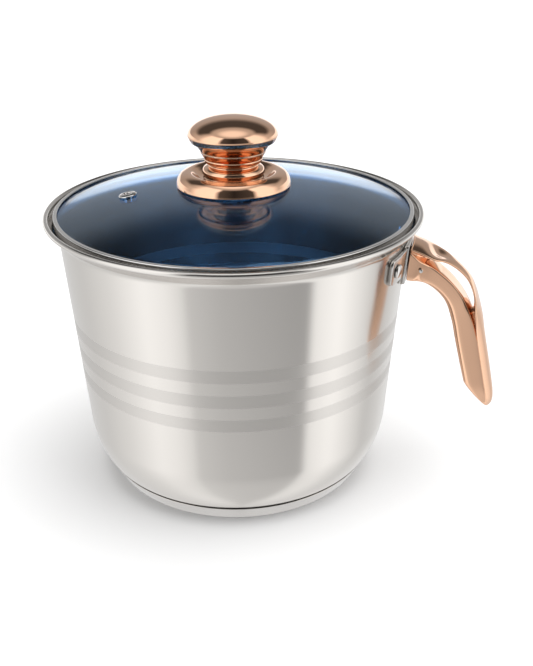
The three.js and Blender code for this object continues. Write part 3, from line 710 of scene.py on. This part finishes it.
# ---------------------------------------------------------------- bracket
@dataclass
class HandleMount:
    """The riveted bracket: curved wings, raised pad and two rivets."""

    bench: Bench
    pan: PanBody
    wing_thickness: float = 1.5 * MM
    pad_thickness: float = 1.9 * MM
    pad_half: float = 10.2 * MM
    root_stand: float = 3.2 * MM
    wing_depth: float = 12.0 * MM
    spread: float = 22.4 * MM
    head: float = 3.2 * MM
    shank: float = 1.9 * MM
    head_edge: float = 0.4 * MM
    head_rise: float = 1.1 * MM
    inner_head: float = 1.0 * MM
    rivet_lift: float = 0.1 * MM

    def __post_init__(self) -> None:
        """Reads the bracket's place from the frame."""
        low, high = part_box("bracket_rivet_front")
        self.height = (low.z + high.z) / 2 + self.rivet_lift
        low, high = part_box("handle_bracket")
        self.reach, self.pad_bottom, self.pad_top = high.y, low.z, high.z

    def plate(self, name: str, half: float, low: float, high: float,
              thickness: float, corner: float, edge: float) -> bpy.types.Object:
        """A plate bent to the wall, with rounded corners and softened edges.

        Args:
            name: The piece's name.
            half: Half width across the handle.
            low: Height of its lower edge.
            high: Height of its upper edge.
            thickness: How far it stands off the wall.
            corner: Radius of its corners.
            edge: Radius of its softened outer edge.

        Returns:
            The piece.
        """
        rings = []
        corner_steps, middle_steps = 8, 40
        turns = quarter(corner_steps)
        ends = [(half - corner + corner * math.cos(a), corner - corner * math.sin(a)) for a in turns]
        across = [(-y, cut) for y, cut in ends]
        across += [((half - corner) * (2 * i / middle_steps - 1), 0.0) for i in range(1, middle_steps)]
        across += ends[::-1]
        for place, (y, cut) in enumerate(across):
            sink = edge if place in (0, len(across) - 1) else 0.0
            bottom, top, face = low + cut, high - cut, thickness - edge - sink / 2
            outline = [(0.0, bottom)]
            outline += [(face + edge * math.sin(a), bottom + edge - edge * math.cos(a)) for a in turns[::2]]
            outline += [(face + edge * math.sin(a), top - edge + edge * math.cos(a)) for a in turns[::-2]]
            outline += [(0.0, top)]
            ring = []
            for out, z in outline:
                base = self.pan.wall_radius(z) + GAP
                angle = y / self.pan.wall_radius(self.height)
                ring.append(Vector(((base + out) * math.cos(angle), (base + out) * math.sin(angle), z)))
            rings.append(ring)
        return self.bench.shop.loft(name, rings, self.bench.finishes[Slot.BRACKET])

    def rivet_profile(self) -> list[Point]:
        """A low domed head outside, a shank through the wall and a flat head inside.

        Returns:
            The profile from the inner head's middle to the top of the dome.
        """
        face = 2 * GAP + self.wing_thickness
        inner = -self.pan.wall - 2 * GAP
        back, edge = inner - self.inner_head, face + self.head_edge
        dome = [(self.head * math.cos(a), edge + self.head_rise * math.sin(a)) for a in quarter(10)]
        start = rounded([(0, back, 0), (self.head, back, 0.4 * MM),
                         (self.head, inner, 0.2 * MM), (self.shank, inner, 0.1 * MM),
                         (self.shank, face, 0.1 * MM), (self.head, face, 0.2 * MM),
                         (self.head, edge, 0)], closed=False)
        return [*start[:-1], *dome[:-1], (0, dome[-1][1])]

    def build(self) -> None:
        """Makes and dresses the bracket and its rivets."""
        wings = self.plate("bracket_wings", self.reach, self.height - self.wing_depth / 2,
                           self.height + self.wing_depth / 2, self.wing_thickness, 3 * MM, 0.45 * MM)
        self.bench.fit(wings, Slot.BRACKET, "pan", "handle_bracket")
        pad = self.plate("bracket_pad", self.pad_half, self.pad_bottom, self.pad_top,
                         self.pad_thickness, 1.2 * MM, 0.6 * MM)
        self.bench.fit(pad, Slot.BRACKET, "pan", "handle_bracket")
        rivets = self.bench.turn("bracket_rivets", self.rivet_profile(), Slot.RIVET, 64)
        wall = self.pan.wall_radius(self.height)
        self.bench.shop.run(rivets, self.bench.shop.rivets, {
            "Spread": math.asin(self.spread / wall), "Wall Radius": wall, "Height": self.height,
            "Lean": math.atan(self.pan.taper), "Finish": self.bench.finishes[Slot.RIVET]})
        self.bench.fit(rivets, Slot.RIVET, "pan", "bracket_rivet_front", "bracket_rivet_rear")


# ---------------------------------------------------------------- handle
@dataclass
class Handle:
    """The cast handle: a strap over an open eye, a lower arm, and a grip that ends in a nose.

    Lengths are millimetres along the handle's back, depths millimetres inward from it.
    """

    bench: Bench
    mount: HandleMount
    root_half: float = 10.5
    arm_half: float = 6.2
    strap_half: float = 4.3
    leg_half: float = 8.4
    root_depth: float = 16.8
    bend_depth: float = 13.9
    leg_depth: float = 14.4
    tip_depth: float = 12.9
    strap_rise: float = 1.4
    strap_edge: float = 0.8
    crease: float = 5.6
    bottom_round: float = 3.0
    eye_start: float = 10.5
    eye_middle: float = 28.0
    eye_end: float = 44.8
    groove_end: float = 60.0
    tip_length: float = 16.0
    nose: float = 3.9
    thumb_place: float = 12.3
    thumb_length: float = 4.6
    thumb_hollow: float = 2.2
    root_slope: float = math.radians(20)
    leg_slope: float = math.radians(78.5)
    lead: float = 4.0
    bend: float = 47.0
    leg: float = 44.0
    fitted: float = 14.0
    pin_stand: float = 0.75
    pin_edge: float = 0.3

    def __post_init__(self) -> None:
        """Works out the back's length and the root's place."""
        self.bend_length = self.bend * (self.leg_slope - self.root_slope)
        self.length = self.lead + self.bend_length + self.leg
        self.tip_start = self.length - self.tip_length
        self.wall_offset = (GAP + self.mount.pad_thickness + GAP) / MM
        pad_out = self.mount.pan.wall_radius(self.mount.height) + self.mount.root_stand
        self.root = ((pad_out + 2 * GAP) / MM, self.mount.pad_top / MM)

    def back(self, s: float) -> tuple[Vector, Vector, Vector]:
        """The back's line: a short lead, a bend and a straight leg.

        Args:
            s: Distance along the back.

        Returns:
            The point there, the direction along the back and the direction inward.
        """
        start, lead = self.root_slope, min(s, self.lead)
        turn = min(max(s - self.lead, 0.0), self.bend_length)
        leg = max(s - self.lead - self.bend_length, 0.0)
        slope = start + turn / self.bend
        point = Vector((
            self.root[0] + lead * math.cos(start)
            + self.bend * (math.sin(slope) - math.sin(start)) + leg * math.cos(slope), 0,
            self.root[1] - lead * math.sin(start)
            + self.bend * (math.cos(slope) - math.cos(start)) - leg * math.sin(slope)))
        return (point, Vector((math.cos(slope), 0, -math.sin(slope))),
                Vector((-math.sin(slope), 0, -math.cos(slope))))

    def half_width(self, s: float) -> float:
        """Half width of the arm and grip."""
        return follow([
            (0, self.root_half), (5.5, self.root_half - 1.2), (self.eye_start + 1, self.arm_half + 1),
            (self.eye_start + 7, self.arm_half + 0.3), (self.eye_middle + 2, self.arm_half),
            (self.eye_end - 8, self.arm_half + 0.2), (self.eye_end, self.leg_half - 1),
            (self.eye_end + 10, self.leg_half - 0.2), (self.groove_end, self.leg_half),
            (self.groove_end + 12, self.leg_half), (self.length - 5, self.leg_half - 1)], s)[0]

    def crease_depth(self, s: float) -> float:
        """Depth of the crease between the arm's top and its side."""
        return follow([
            (0, self.crease - 2.4), (5.5, self.crease), (self.eye_start + 7, self.crease + 0.6),
            (self.eye_middle + 2, self.crease + 0.2), (self.eye_end, self.crease - 0.4),
            (self.groove_end, self.crease - 1.4), (self.length - 5, self.crease - 2)], s)[0]

    def underside(self, s: float) -> float:
        """Depth of the underside."""
        return follow([
            (0, self.root_depth), (self.eye_start, self.root_depth - 0.9),
            (self.eye_start + 8, self.bend_depth + 0.8), (self.eye_middle + 4, self.bend_depth),
            (self.eye_end, self.leg_depth), (self.eye_end + 14, self.leg_depth - 0.3),
            (self.tip_start, self.tip_depth)], s)[0]

    def strap(self, s: float) -> list[float]:
        """Half width of the strap's top, depth of its edge and depth of its middle."""
        root, leg, strap, rise = self.root_half, self.leg_half, self.strap_half, self.strap_rise
        return follow([
            (0, root, 1.6, 0.3), (5, root - 0.2, 1.5, 0), (self.eye_start + 0.5, root - 0.6, 1.5, -0.3),
            (16, root - 3.5, 0.4, -0.6), (21.5, strap + 0.9, -0.2, 0.4 - rise),
            (self.eye_middle, strap, 0.8 - rise, -rise), (31.5, strap + 0.3, -0.5, 0.1 - rise),
            (36, strap + 2, 0.1, -0.5), (self.eye_end - 5, leg + 0.2, 0.9, 0),
            (self.eye_end, leg + 0.4, 2.4, 0.4), (self.eye_end + 9, leg, 3.8, 0.6),
            (self.groove_end, leg - 0.3, self.crease - 1.7, 0.6),
            (self.groove_end + 13, leg - 0.3, self.crease - 2, 0.3),
            (self.length - 5, leg - 1.3, self.crease - 2.3, 0.1)], s)

    def web(self, s: float) -> float:
        """Half width of the solid web between strap and arm; none beside the eye."""
        if s <= self.eye_start:
            return follow([(0, self.root_half - 0.9), (3, self.arm_half + 1.8), (5.5, self.arm_half - 1.2),
                           (8, 0.3 * self.arm_half), (self.eye_start, 0)], s)[0]
        return follow([(self.eye_end, 0), (self.eye_end + 7, self.leg_half - 2.9),
                       (self.groove_end, self.leg_half - 0.2), (self.length - 5, self.leg_half - 1.2)], s)[0]

    def half_section(self, s: float) -> list[Point]:
        """One half of the section across the handle.

        Args:
            s: Distance along the back.

        Returns:
            Half widths and depths, from the strap's top round to the middle of the underside.
        """
        half, crease, under = self.half_width(s), self.crease_depth(s), self.underside(s)
        edge, edge_depth, top = self.strap(s)
        thickness = min(self.strap_edge, 0.35 * (crease - edge_depth))
        middle = (edge_depth + thickness + crease) / 2
        along = (s - self.eye_start) / (self.eye_end - self.eye_start)
        opened = min(1.0, 1.5 * math.sin(math.pi * along)) ** 0.9 if 1e-6 < along < 1 - 1e-6 else 0.0
        web = min(self.web(s), edge - 0.1, half - 0.1)
        hollow = self.thumb_hollow * math.exp(-(((s - self.thumb_place) / self.thumb_length) ** 2))
        turn = min(self.bottom_round, 0.4 * (under - crease))
        swell = [(k * edge, top + (edge_depth - top) * k ** 2 + hollow * (1 - k ** 2) ** 2)
                 for k in (0, 0.2, 0.4, 0.56, 0.66, 0.8, 0.95)]
        corner = [(half - turn + turn * math.cos(a), under - turn + turn * math.sin(a))
                  for a in quarter(4)]
        places = [
            *swell, (edge, edge_depth + 0.15 * thickness), (edge - 0.05, edge_depth + 0.85 * thickness),
            (max(edge - 0.4, web), edge_depth + thickness),
            (web, middle - opened * (middle - edge_depth - thickness - 0.4)),
            (web, middle + opened * (crease - middle)),
            (max(half - 0.5, web), crease - 0.1), (half, crease + 0.35),
            (half, (crease + under) / 2), *corner, (half / 2, under), (0, under)]
        return [self.drawn_in(s, place) for place in places]

    def drawn_in(self, s: float, place: Point) -> Point:
        """Draws a section in towards the tip.

        Args:
            s: Distance along the back.
            place: Half width and depth of a section point.

        Returns:
            The point's half width and depth after narrowing.
        """
        t = min(max((s - self.tip_start) / self.tip_length, 0), 1)
        share = 1 - t ** 1.15 if place[1] > self.nose else math.sqrt(1 - t ** 4)
        return place[0] * math.sqrt(1 - t ** 2.2), self.nose + (place[1] - self.nose) * share

    def stations(self) -> list[float]:
        """Distances along the back, closer together at the tip.

        Returns:
            The distances in order.
        """
        runs = ((0, self.eye_start, 10), (self.eye_start, self.eye_end, 34),
                (self.eye_end, self.tip_start, 24))
        straight = [a + (b - a) * i / steps for a, b, steps in runs for i in range(steps)]
        tip = [self.tip_start + 0.988 * self.tip_length * math.sin(a) for a in quarter(14)]
        return straight + tip

    def placed(self, s: float, side: int, across: float, depth: float) -> Vector:
        """A section point in the frame, with the root's end fitted to the bracket's pad.

        Args:
            s: Distance along the back.
            side: 1 or -1 for the two sides.
            across: Distance from the middle plane.
            depth: Depth inward from the back.

        Returns:
            The point in metres.
        """
        point, along, inward = self.back(s)
        spot = point + inward * depth
        if s < self.fitted:
            start, start_along, start_inward = self.back(0)
            root = start + start_inward * depth
            pan, y = self.mount.pan, min(across, self.root_half)
            wall = pan.wall_radius(root.z * MM) / MM + self.wall_offset
            shift = (math.sqrt(wall ** 2 - y ** 2) - root.x) / (start_along.x + pan.taper * -start_along.z)
            spot += along * shift * (1 - s / self.fitted) ** 1.5
        return Vector((spot.x, side * across, spot.z)) * MM

    def skin(self) -> bpy.types.Object:
        """The handle as one closed skin over its mirrored sections.

        Returns:
            The handle as a plain mesh.
        """
        points: list[Vector] = []
        faces: list[tuple[int, ...]] = []
        # No face follows this section point: it meets the next one where the web is solid, and
        # beside the eye the two lie on the middle plane with the open eye between them.
        web_top = 10
        stations = self.stations()
        for side in (1, -1):
            start = len(points)
            for s in stations:
                points += [self.placed(s, side, *place) for place in self.half_section(s)]
            size = (len(points) - start) // len(stations)
            for k in [k for k in range(size - 1) if k != web_top]:
                for i in range(len(stations) - 1):
                    a = start + i * size + k
                    faces.append((a, a + 1, a + size + 1, a + size))
            for end in (start, start + (len(stations) - 1) * size):
                centre = len(points)
                points.append((points[end] + points[end + size - 1]) / 2)
                faces += [(centre, end + k, end + k + 1) for k in range(size - 1) if k != web_top]
        piece = self.bench.shop.mesh("handle_body", points, faces)
        edit = bmesh.new()
        edit.from_mesh(piece.data)
        bmesh.ops.remove_doubles(edit, verts=edit.verts, dist=0.002 * MM)
        loose = [v for v in edit.verts if not v.link_faces]
        bmesh.ops.delete(edit, geom=loose, context="VERTS")
        bmesh.ops.recalc_face_normals(edit, faces=edit.faces)
        edit.to_mesh(piece.data)
        edit.free()
        piece.data.materials.append(self.bench.finishes[Slot.HANDLE])
        piece.data.shade_smooth()
        soften = piece.modifiers.new("soften", "SUBSURF")
        soften.levels = soften.render_levels = 2
        self.bench.shop.settle(piece)
        return piece

    def pin(self) -> bpy.types.Object:
        """The cross pin, its two domed ends just proud of the handle's sides.

        Returns:
            The pin as a plain mesh.
        """
        low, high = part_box("handle_cross_pin")
        middle = (low + high) / 2
        half, radius, edge = high.y + self.pin_stand * MM, (high.z - low.z) / 2, self.pin_edge * MM
        ends = [(radius * math.cos(a), half - edge + edge * math.sin(a)) for a in quarter(6)[:-1]]
        profile = [(0, -half), *[(r, -h) for r, h in ends[::-1]], *ends, (0, half)]
        piece = self.bench.turn("handle_pin", profile, Slot.RIVET, 48)
        turn = Matrix.Translation(middle) @ Matrix.Rotation(math.pi / 2, 4, "X")
        piece.data.transform(turn)
        return piece

    def build(self) -> None:
        """Makes and dresses the handle and its pin."""
        self.bench.fit(self.skin(), Slot.HANDLE, "pan", "handle_grip")
        self.bench.fit(self.pin(), Slot.RIVET, "pan", "handle_cross_pin")


# ---------------------------------------------------------------- lid
@dataclass
class Lid:
    """The domed glass, its steel hoop and the steam vent."""

    bench: Bench
    thickness: float = 3.0 * MM
    foot_inset: float = 1.45 * MM
    bore: float = 4.0 * MM
    steps: int = 40

    def __post_init__(self) -> None:
        """Reads the glass's place from the frame and works out its dome."""
        low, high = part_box("lid_glass")
        self.edge, self.bottom, self.top = high.x, low.z, high.z
        self.foot = self.edge - self.foot_inset
        rise = self.top - self.bottom - self.thickness
        self.dome = (self.foot ** 2 + rise ** 2) / (2 * rise)
        self.centre = self.bottom + self.thickness + rise - self.dome

    def glass_profile(self) -> list[Point]:
        """Underside, ground edge, top and the middle bore.

        Returns:
            The closed profile, from the bore's lower edge.
        """
        under = self.dome - self.thickness
        foot = math.degrees(math.acos(self.foot / self.dome))

        def at_bore(radius: float) -> float:
            """Angle of the bore on a dome of the given radius."""
            return math.degrees(math.acos(self.bore / radius))

        inside = arc((0, self.centre), under, at_bore(under), foot, self.steps)
        outside = arc((0, self.centre), self.dome, foot, at_bore(self.dome), self.steps)
        rim = rounded([(*inside[-1], 0), (self.edge, self.bottom, 0.5 * MM),
                       (self.edge, self.bottom + self.thickness, 0.6 * MM), (*outside[0], 0)], False)
        return [*inside, *rim[1:], *outside[1:], inside[0]]

    def hoop_profile(self) -> list[Point]:
        """The channel-shaped hoop round the glass.

        Returns:
            The closed profile.
        """
        low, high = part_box("lid_hoop")
        out, wall, lip = high.x, 0.6 * MM, 1.75 * MM
        bottom, top = low.z, high.z
        return rounded([
            (out - lip, bottom, 0.1 * MM), (out - 0.9 * MM, bottom, 0.4 * MM),
            (out, bottom + 0.9 * MM, 0.4 * MM), (out, top, 0.55 * MM), (out - lip, top, 0.25 * MM),
            (out - lip, top - wall, 0.15 * MM), (out - wall, top - wall, 0.1 * MM),
            (out - wall, bottom + wall, 0.1 * MM), (out - lip, bottom + wall, 0.1 * MM)])

    def eyelet(self) -> bpy.types.Object:
        """The steam vent's flanged eyelet, clinched through the glass.

        Returns:
            The eyelet as a plain mesh.
        """
        low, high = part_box("steam_vent_eyelet")
        middle = (low + high) / 2
        face, lip = self.thickness / 2 + 2 * GAP, 0.8 * MM
        flange, tube, bore = 4.1 * MM, 2.5 * MM, 1.4 * MM
        profile = rounded([
            (flange, -face - lip, 0.35 * MM), (flange, -face, 0.1 * MM), (tube, -face, 0.05 * MM),
            (tube, face, 0.05 * MM), (flange, face, 0.15 * MM), (flange - 0.3 * MM, face + lip / 2, 0.4 * MM),
            (tube, face + lip, 0.8 * MM), (bore + 0.2 * MM, face + 0.8 * lip, 0.5 * MM),
            (bore, face - 0.4 * MM, 0.4 * MM), (bore, -face - lip, 0.3 * MM)])
        piece = self.bench.turn("steam_vent", profile, Slot.HOOP, 64)
        outward = (middle - Vector((0, 0, self.centre))).normalized()
        turn = outward.to_track_quat("Z", "Y").to_matrix().to_4x4()
        piece.data.transform(Matrix.Translation(middle) @ turn)
        return piece

    def build(self) -> None:
        """Makes and dresses the three pieces."""
        glass = self.bench.turn("glass_dome", self.glass_profile(), Slot.GLASS, 256)
        self.bench.fit(glass, Slot.GLASS, "lid", "lid_glass")
        hoop = self.bench.turn("glass_hoop", self.hoop_profile(), Slot.HOOP, 256)
        self.bench.fit(hoop, Slot.HOOP, "lid", "lid_hoop")
        self.bench.fit(self.eyelet(), Slot.HOOP, "lid", "steam_vent_eyelet")


# ---------------------------------------------------------------- knob
@dataclass
class Knob:
    """The knob's turned pieces and the screw that holds them through the glass."""

    bench: Bench
    facets: int = 160
    shank: float = 2.7 * MM
    stem: float = 6.3 * MM
    flange_wall: float = 0.8 * MM
    flange_rise: float = 5.9 * MM
    cap_wall: float = 1.0 * MM
    thread_radius: float = 2.4 * MM
    thread_pitch: float = 0.8 * MM
    thread_depth: float = 0.3 * MM

    def flange(self) -> list[Point]:
        """A bell: outer edge, ridge and dish, all of one wall.

        Returns:
            The closed profile, from the outer edge.
        """
        low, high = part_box("knob_flange")
        out, top, wall, rise = high.x, high.z, self.flange_wall, self.flange_rise
        edge = top - rise
        crest, dish = out - 6.4 * MM, out - 11.2 * MM
        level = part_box("knob_neck")[0].z - GAP
        upper = smooth_through([
            (out, max(edge, low.z)), (out - 0.35 * MM, edge + 0.3 * rise),
            (out - 1.1 * MM, edge + 0.6 * rise), (out - 2.9 * MM, edge + 0.88 * rise),
            (crest, top), ((crest + dish) / 2, edge + 0.72 * rise),
            (dish, level), (dish - 4 * MM, level), (self.shank, level)], 8)
        lower = []
        for i, (r, z) in enumerate(upper):
            ahead, behind = upper[min(i + 1, len(upper) - 1)], upper[max(i - 1, 0)]
            along = Vector((ahead[0] - behind[0], ahead[1] - behind[1])).normalized()
            lower.append((r - along.y * wall, z + along.x * wall))
        return [*upper, *[(max(r, self.shank), z) for r, z in lower[::-1]], upper[0]]

    def neck(self) -> list[Point]:
        """The lower collar: foot ring, waist and bulge.

        Returns:
            The closed profile.
        """
        low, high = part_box("knob_neck")
        out, base, top = high.x, low.z, high.z
        bulge = arc((out - 2.2 * MM, base + 3.1 * MM), 2.2 * MM, -55, 60, 14)
        foot = rounded([(self.stem, base, 0), (out - 0.7 * MM, base, 0.3 * MM),
                        (out - 0.25 * MM, base + 0.4 * MM, 0.3 * MM),
                        (out - 0.9 * MM, base + 0.95 * MM, 0.2 * MM), (*bulge[0], 0)], False)
        head = rounded([(*bulge[-1], 0), (out - 2.9 * MM, top - 0.4 * MM, 0.6 * MM),
                        (out - 2.9 * MM, top, 0), (self.stem, top, 0), (self.stem, base, 0)], False)
        return [*foot[:-1], *bulge, *head[1:]]

    def cone(self) -> list[Point]:
        """The stepped cone with its two rings.

        Returns:
            The closed profile, its steps placed as shares of the cone's height.
        """
        low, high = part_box("knob_cone")
        base, tall, out = low.z, high.z - low.z, high.x
        foot = out - 5.6 * MM
        steps = ((0, 0, .3), (.07, 1.1, .5), (.22, 1.7, .5), (.27, 1.6, .3), (.48, 2.75, .4), (.55, 3.15, .5),
                 (.62, 3.15, .4), (.84, 4.6, 1.0), (1, 5.6, .2))
        outline = [(foot + r * MM, base + share * tall, fillet * MM) for share, r, fillet in steps]
        return rounded([*outline, (self.stem, high.z, 0), (self.stem, base, 0)])

    def cap(self) -> list[Point]:
        """The mushroom cap, hollow, with its lip closed round the cone.

        Returns:
            The closed profile.
        """
        low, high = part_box("knob_cap")
        out, base, top = high.x, low.z, high.z
        widest, lip, shell, steps = base + 3.1 * MM, out - 2.6 * MM, self.cap_wall, 26

        def dome(radius: float, height: float) -> list[Point]:
            """Points from the widest place up to the top."""
            turns = quarter(steps)[:-1]
            return [*[(radius * math.cos(a), widest + height * math.sin(a)) for a in turns],
                    (0, widest + height)]

        under = smooth_through([
            (lip, base + 0.15 * MM), (lip + 0.35 * MM, base), (lip + 1.2 * MM, base + 0.25 * MM),
            (out - 0.55 * MM, widest - 1.5 * MM), (out - 0.05 * MM, widest - 0.4 * MM)], 6)
        inside = dome(out - shell, top - widest - shell)[::-1]
        return [*under, *dome(out, top - widest), *inside, (lip, widest - 1.2 * MM), under[0]]

    def screw(self) -> list[Point]:
        """A pan-headed screw with rolled threads.

        Returns:
            The profile from the driver recess to the screw's end.
        """
        low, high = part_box("knob_screw")
        head, radius, pitch = high.x, self.thread_radius, self.thread_pitch
        seat = low.z + 2.2 * MM
        count = int((high.z - seat - 2 * MM) / pitch)
        threads = [(radius - (self.thread_depth if k % 2 else 0), seat + 1.2 * MM + k * pitch / 2)
                   for k in range(2 * count)]
        start = rounded([(0, low.z + 0.8 * MM, 0), (1.4 * MM, low.z + 0.8 * MM, 0.1 * MM),
                         (1.4 * MM, low.z, 0.1 * MM), (head - 0.3 * MM, low.z, 0.7 * MM),
                         (head, seat, 0.3 * MM), (radius, seat, 0.1 * MM), (radius, seat + 1 * MM, 0)], False)
        return [*start, *threads, (radius - 0.6 * MM, high.z - 0.1 * MM), (0, high.z)]

    def ring(self, node: str, edge: float) -> list[Point]:
        """A washer or gasket with softened edges, sized from its CAD node.

        Args:
            node: The node's name.
            edge: Radius of its outer edges.

        Returns:
            The closed profile.
        """
        low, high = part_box(node)
        return rounded([(high.x, low.z, edge), (high.x, high.z, edge),
                        (self.shank, high.z, edge / 2), (self.shank, low.z, edge / 2)])

    def build(self) -> None:
        """Makes and dresses the knob's pieces."""
        turned = {
            "knob_flange": (self.flange(), Slot.KNOB), "knob_neck": (self.neck(), Slot.KNOB),
            "knob_cone": (self.cone(), Slot.KNOB), "knob_cap": (self.cap(), Slot.KNOB),
            "knob_screw": (self.screw(), Slot.HOOP),
            "screw_washer": (self.ring("screw_washer", 0.25 * MM), Slot.HOOP),
            "lower_gasket": (self.ring("lower_gasket", 0.15 * MM), Slot.SILICONE),
            "upper_gasket": (self.ring("upper_gasket", 0.15 * MM), Slot.SILICONE),
        }
        for node, (profile, slot) in turned.items():
            piece = self.bench.turn(f"{node}_turned", profile, slot, self.facets)
            self.bench.fit(piece, slot, "lid", node)
        self.bench.carry_over("knob_core", Slot.ZINC)


# ---------------------------------------------------------------- studio
@dataclass
class Studio:
    """Pale floor, soft light all round and the camera.

    The stops in around and above, and the pair in rear, are degrees from the camera's side. The
    sun's azimuth is degrees from the handle. Every other pair holds two values of a direction's
    upright share, and the light's level changes between them.
    """

    rim: float
    camera_azimuth: float = math.radians(-75)
    distance: float = 4.624
    height: float = 2.961
    yaw: float = 0.03608
    pitch: float = 0.44696
    roll: float = -0.00665
    lens: float = 48.7
    sensor: float = 36.0
    floor_half: float = 14.0
    sun_azimuth: float = 35.0
    sun_elevation: float = 76.0
    sun_strength: float = 2.6
    sun_spread: float = 70.0
    rear: Point = (95.0, 125.0)
    ground: Point = (-0.85, -0.52)
    horizon: Point = (-0.06, 0.06)
    sweep_bottom: Point = (-0.22, -0.12)
    sweep_top: Point = (0.16, 0.10)
    sweep_level: float = 1.35
    shade_height: Point = (0.40, 0.62)
    shade_level: float = 0.08
    ceiling_height: Point = (0.80, 0.90)
    ceiling_level: float = 0.62
    glow_height: Point = (0.90, 0.995)
    glow_level: float = 1.25
    around: tuple[Point, ...] = (
        (-180, .75), (-120, .85), (-92, 1.08), (-64, 1.46), (-48, 1.34), (-37, 1.12), (-32, .84), (-10, .68),
        (12, .60), (49, .50), (54, 1.3), (74, 1.52), (92, 1.2), (112, .80), (145, .95), (180, .75))
    above: tuple[Point, ...] = (
        (-180, .50), (-140, .44), (-96, .75), (-80, 1.4), (-40, 1.5), (-30, .10), (0, .03), (38, .08),
        (48, 1.5), (84, 1.4), (100, .70), (140, .44), (180, .50))

    def floor(self) -> None:
        """A pale floor under the pan."""
        half = self.floor_half
        corners = [Vector((x * half, y * half, 0)) for x, y in ((-1, -1), (1, -1), (1, 1), (-1, 1))]
        floor = Workshop.mesh("floor", corners, [(0, 1, 2, 3)])
        material = bpy.data.materials.new("floor_pale")
        material.use_nodes = True
        shader = material.node_tree.nodes["Principled BSDF"]
        shader.inputs["Base Color"].default_value = (0.92, 0.92, 0.92, 1)
        shader.inputs["Roughness"].default_value = 0.7
        floor.data.materials.append(material)
        floor.visible_glossy = False

    @staticmethod
    def ramp(graph: Graph, place: bpy.types.NodeSocket, stops: tuple[Point, ...]) -> bpy.types.NodeSocket:
        """Brightness by direction round the pan.

        Args:
            graph: The world's graph.
            place: The direction, from 0 to 1 once round.
            stops: Degrees and level of each stop.

        Returns:
            The level's socket.
        """
        top = max(level for _, level in stops)
        node = graph.add("ShaderNodeValToRGB", Fac=place)
        elements = node.color_ramp.elements
        while len(elements) < len(stops):
            elements.new(0.5)
        for element, (degrees, _) in zip(elements, stops):
            element.position = (degrees + 180) / 360
        for element, (_, level) in zip(elements, stops):
            element.color = (level / top,) * 3 + (1,)
        return graph.math("MULTIPLY", node.outputs[0], top)

    def surroundings(self) -> None:
        """Soft panels of light all round the pan."""
        world = bpy.data.worlds.new("studio")
        bpy.context.scene.world = world
        world.use_nodes = True
        graph = Graph(world.node_tree)
        place = graph.add("ShaderNodeTexCoord").outputs["Generated"]
        parts = graph.add("ShaderNodeSeparateXYZ", Vector=place)
        x, y, z = parts.outputs
        azimuth = graph.math("SUBTRACT", graph.math("ARCTAN2", y, x), self.camera_azimuth)
        wrapped = graph.math("WRAP", azimuth, math.pi, -math.pi)
        turn = graph.math("MULTIPLY_ADD", wrapped, 1 / (2 * math.pi), 0.5)
        low, high = self.ramp(graph, turn, self.around), self.ramp(graph, turn, self.above)
        deep = graph.step(z, *self.ground, 0.55, 0.0)
        low = graph.math("ADD", low, graph.math("MULTIPLY", deep, graph.math("SUBTRACT", 1.0, low)))
        level = graph.blend(graph.step(z, *self.horizon), low, high)
        behind = graph.step(graph.math("ABSOLUTE", wrapped), *[math.radians(a) for a in self.rear])
        sweep = graph.math("MULTIPLY", graph.step(z, *self.sweep_bottom), graph.step(z, *self.sweep_top))
        level = graph.blend(graph.math("MULTIPLY", sweep, behind), level, self.sweep_level)
        shade = graph.math("MULTIPLY", graph.step(z, *self.shade_height), behind)
        level = graph.blend(shade, level, self.shade_level)
        level = graph.blend(graph.step(z, *self.ceiling_height), level, self.ceiling_level)
        level = graph.blend(graph.step(z, *self.glow_height), level, self.glow_level)
        world.node_tree.links.new(level, world.node_tree.nodes["Background"].inputs["Color"])

    def sun(self) -> None:
        """A broad, distant lamp for the soft shadow on the floor."""
        data = bpy.data.lights.new("soft_sun", "SUN")
        data.energy, data.angle = self.sun_strength, math.radians(self.sun_spread)
        lamp = bpy.data.objects.new("soft_sun", data)
        a, e = math.radians(self.sun_azimuth), math.radians(self.sun_elevation)
        away = Vector((math.cos(a) * math.cos(e), math.sin(a) * math.cos(e), math.sin(e)))
        lamp.rotation_euler = away.to_track_quat("Z", "Y").to_euler()
        lamp.visible_glossy = False
        bpy.context.scene.collection.objects.link(lamp)

    def camera(self) -> None:
        """The camera, a little above the rim and to the left of the handle."""
        data = bpy.data.cameras.new("camera")
        data.lens, data.sensor_width = self.lens, self.sensor
        data.clip_start, data.clip_end = 0.01, 50
        camera = bpy.data.objects.new("camera", data)
        forward = Vector((math.sin(self.yaw) * math.cos(self.pitch),
                          math.cos(self.yaw) * math.cos(self.pitch), -math.sin(self.pitch)))
        level = Vector((math.cos(self.yaw), -math.sin(self.yaw), 0))
        up = level.cross(forward)
        right = level * math.cos(self.roll) + up * math.sin(self.roll)
        top = up * math.cos(self.roll) - level * math.sin(self.roll)
        turn = Matrix.Rotation(self.camera_azimuth + math.pi / 2, 4, "Z")
        basis = Matrix((right, top, -forward)).transposed().to_4x4()
        place = Matrix.Translation(Vector((0, -self.distance, self.height)) * self.rim)
        camera.matrix_world = turn @ place @ basis
        bpy.context.scene.collection.objects.link(camera)
        bpy.context.scene.camera = camera

    def build(self) -> None:
        """Sets up the floor, the light and the camera."""
        bpy.context.scene.view_settings.view_transform = "Standard"
        self.floor()
        self.surroundings()
        self.sun()
        self.camera()


def main() -> None:
    """Builds the pan, its handle and its lid, then the studio."""
    bench = Bench()
    pan = PanBody(bench)
    pan.build()
    mount = HandleMount(bench, pan)
    mount.build()
    Handle(bench, mount).build()
    Lid(bench).build()
    Knob(bench).build()
    Studio(pan.rim).build()


if __name__ == "__main__":
    main()
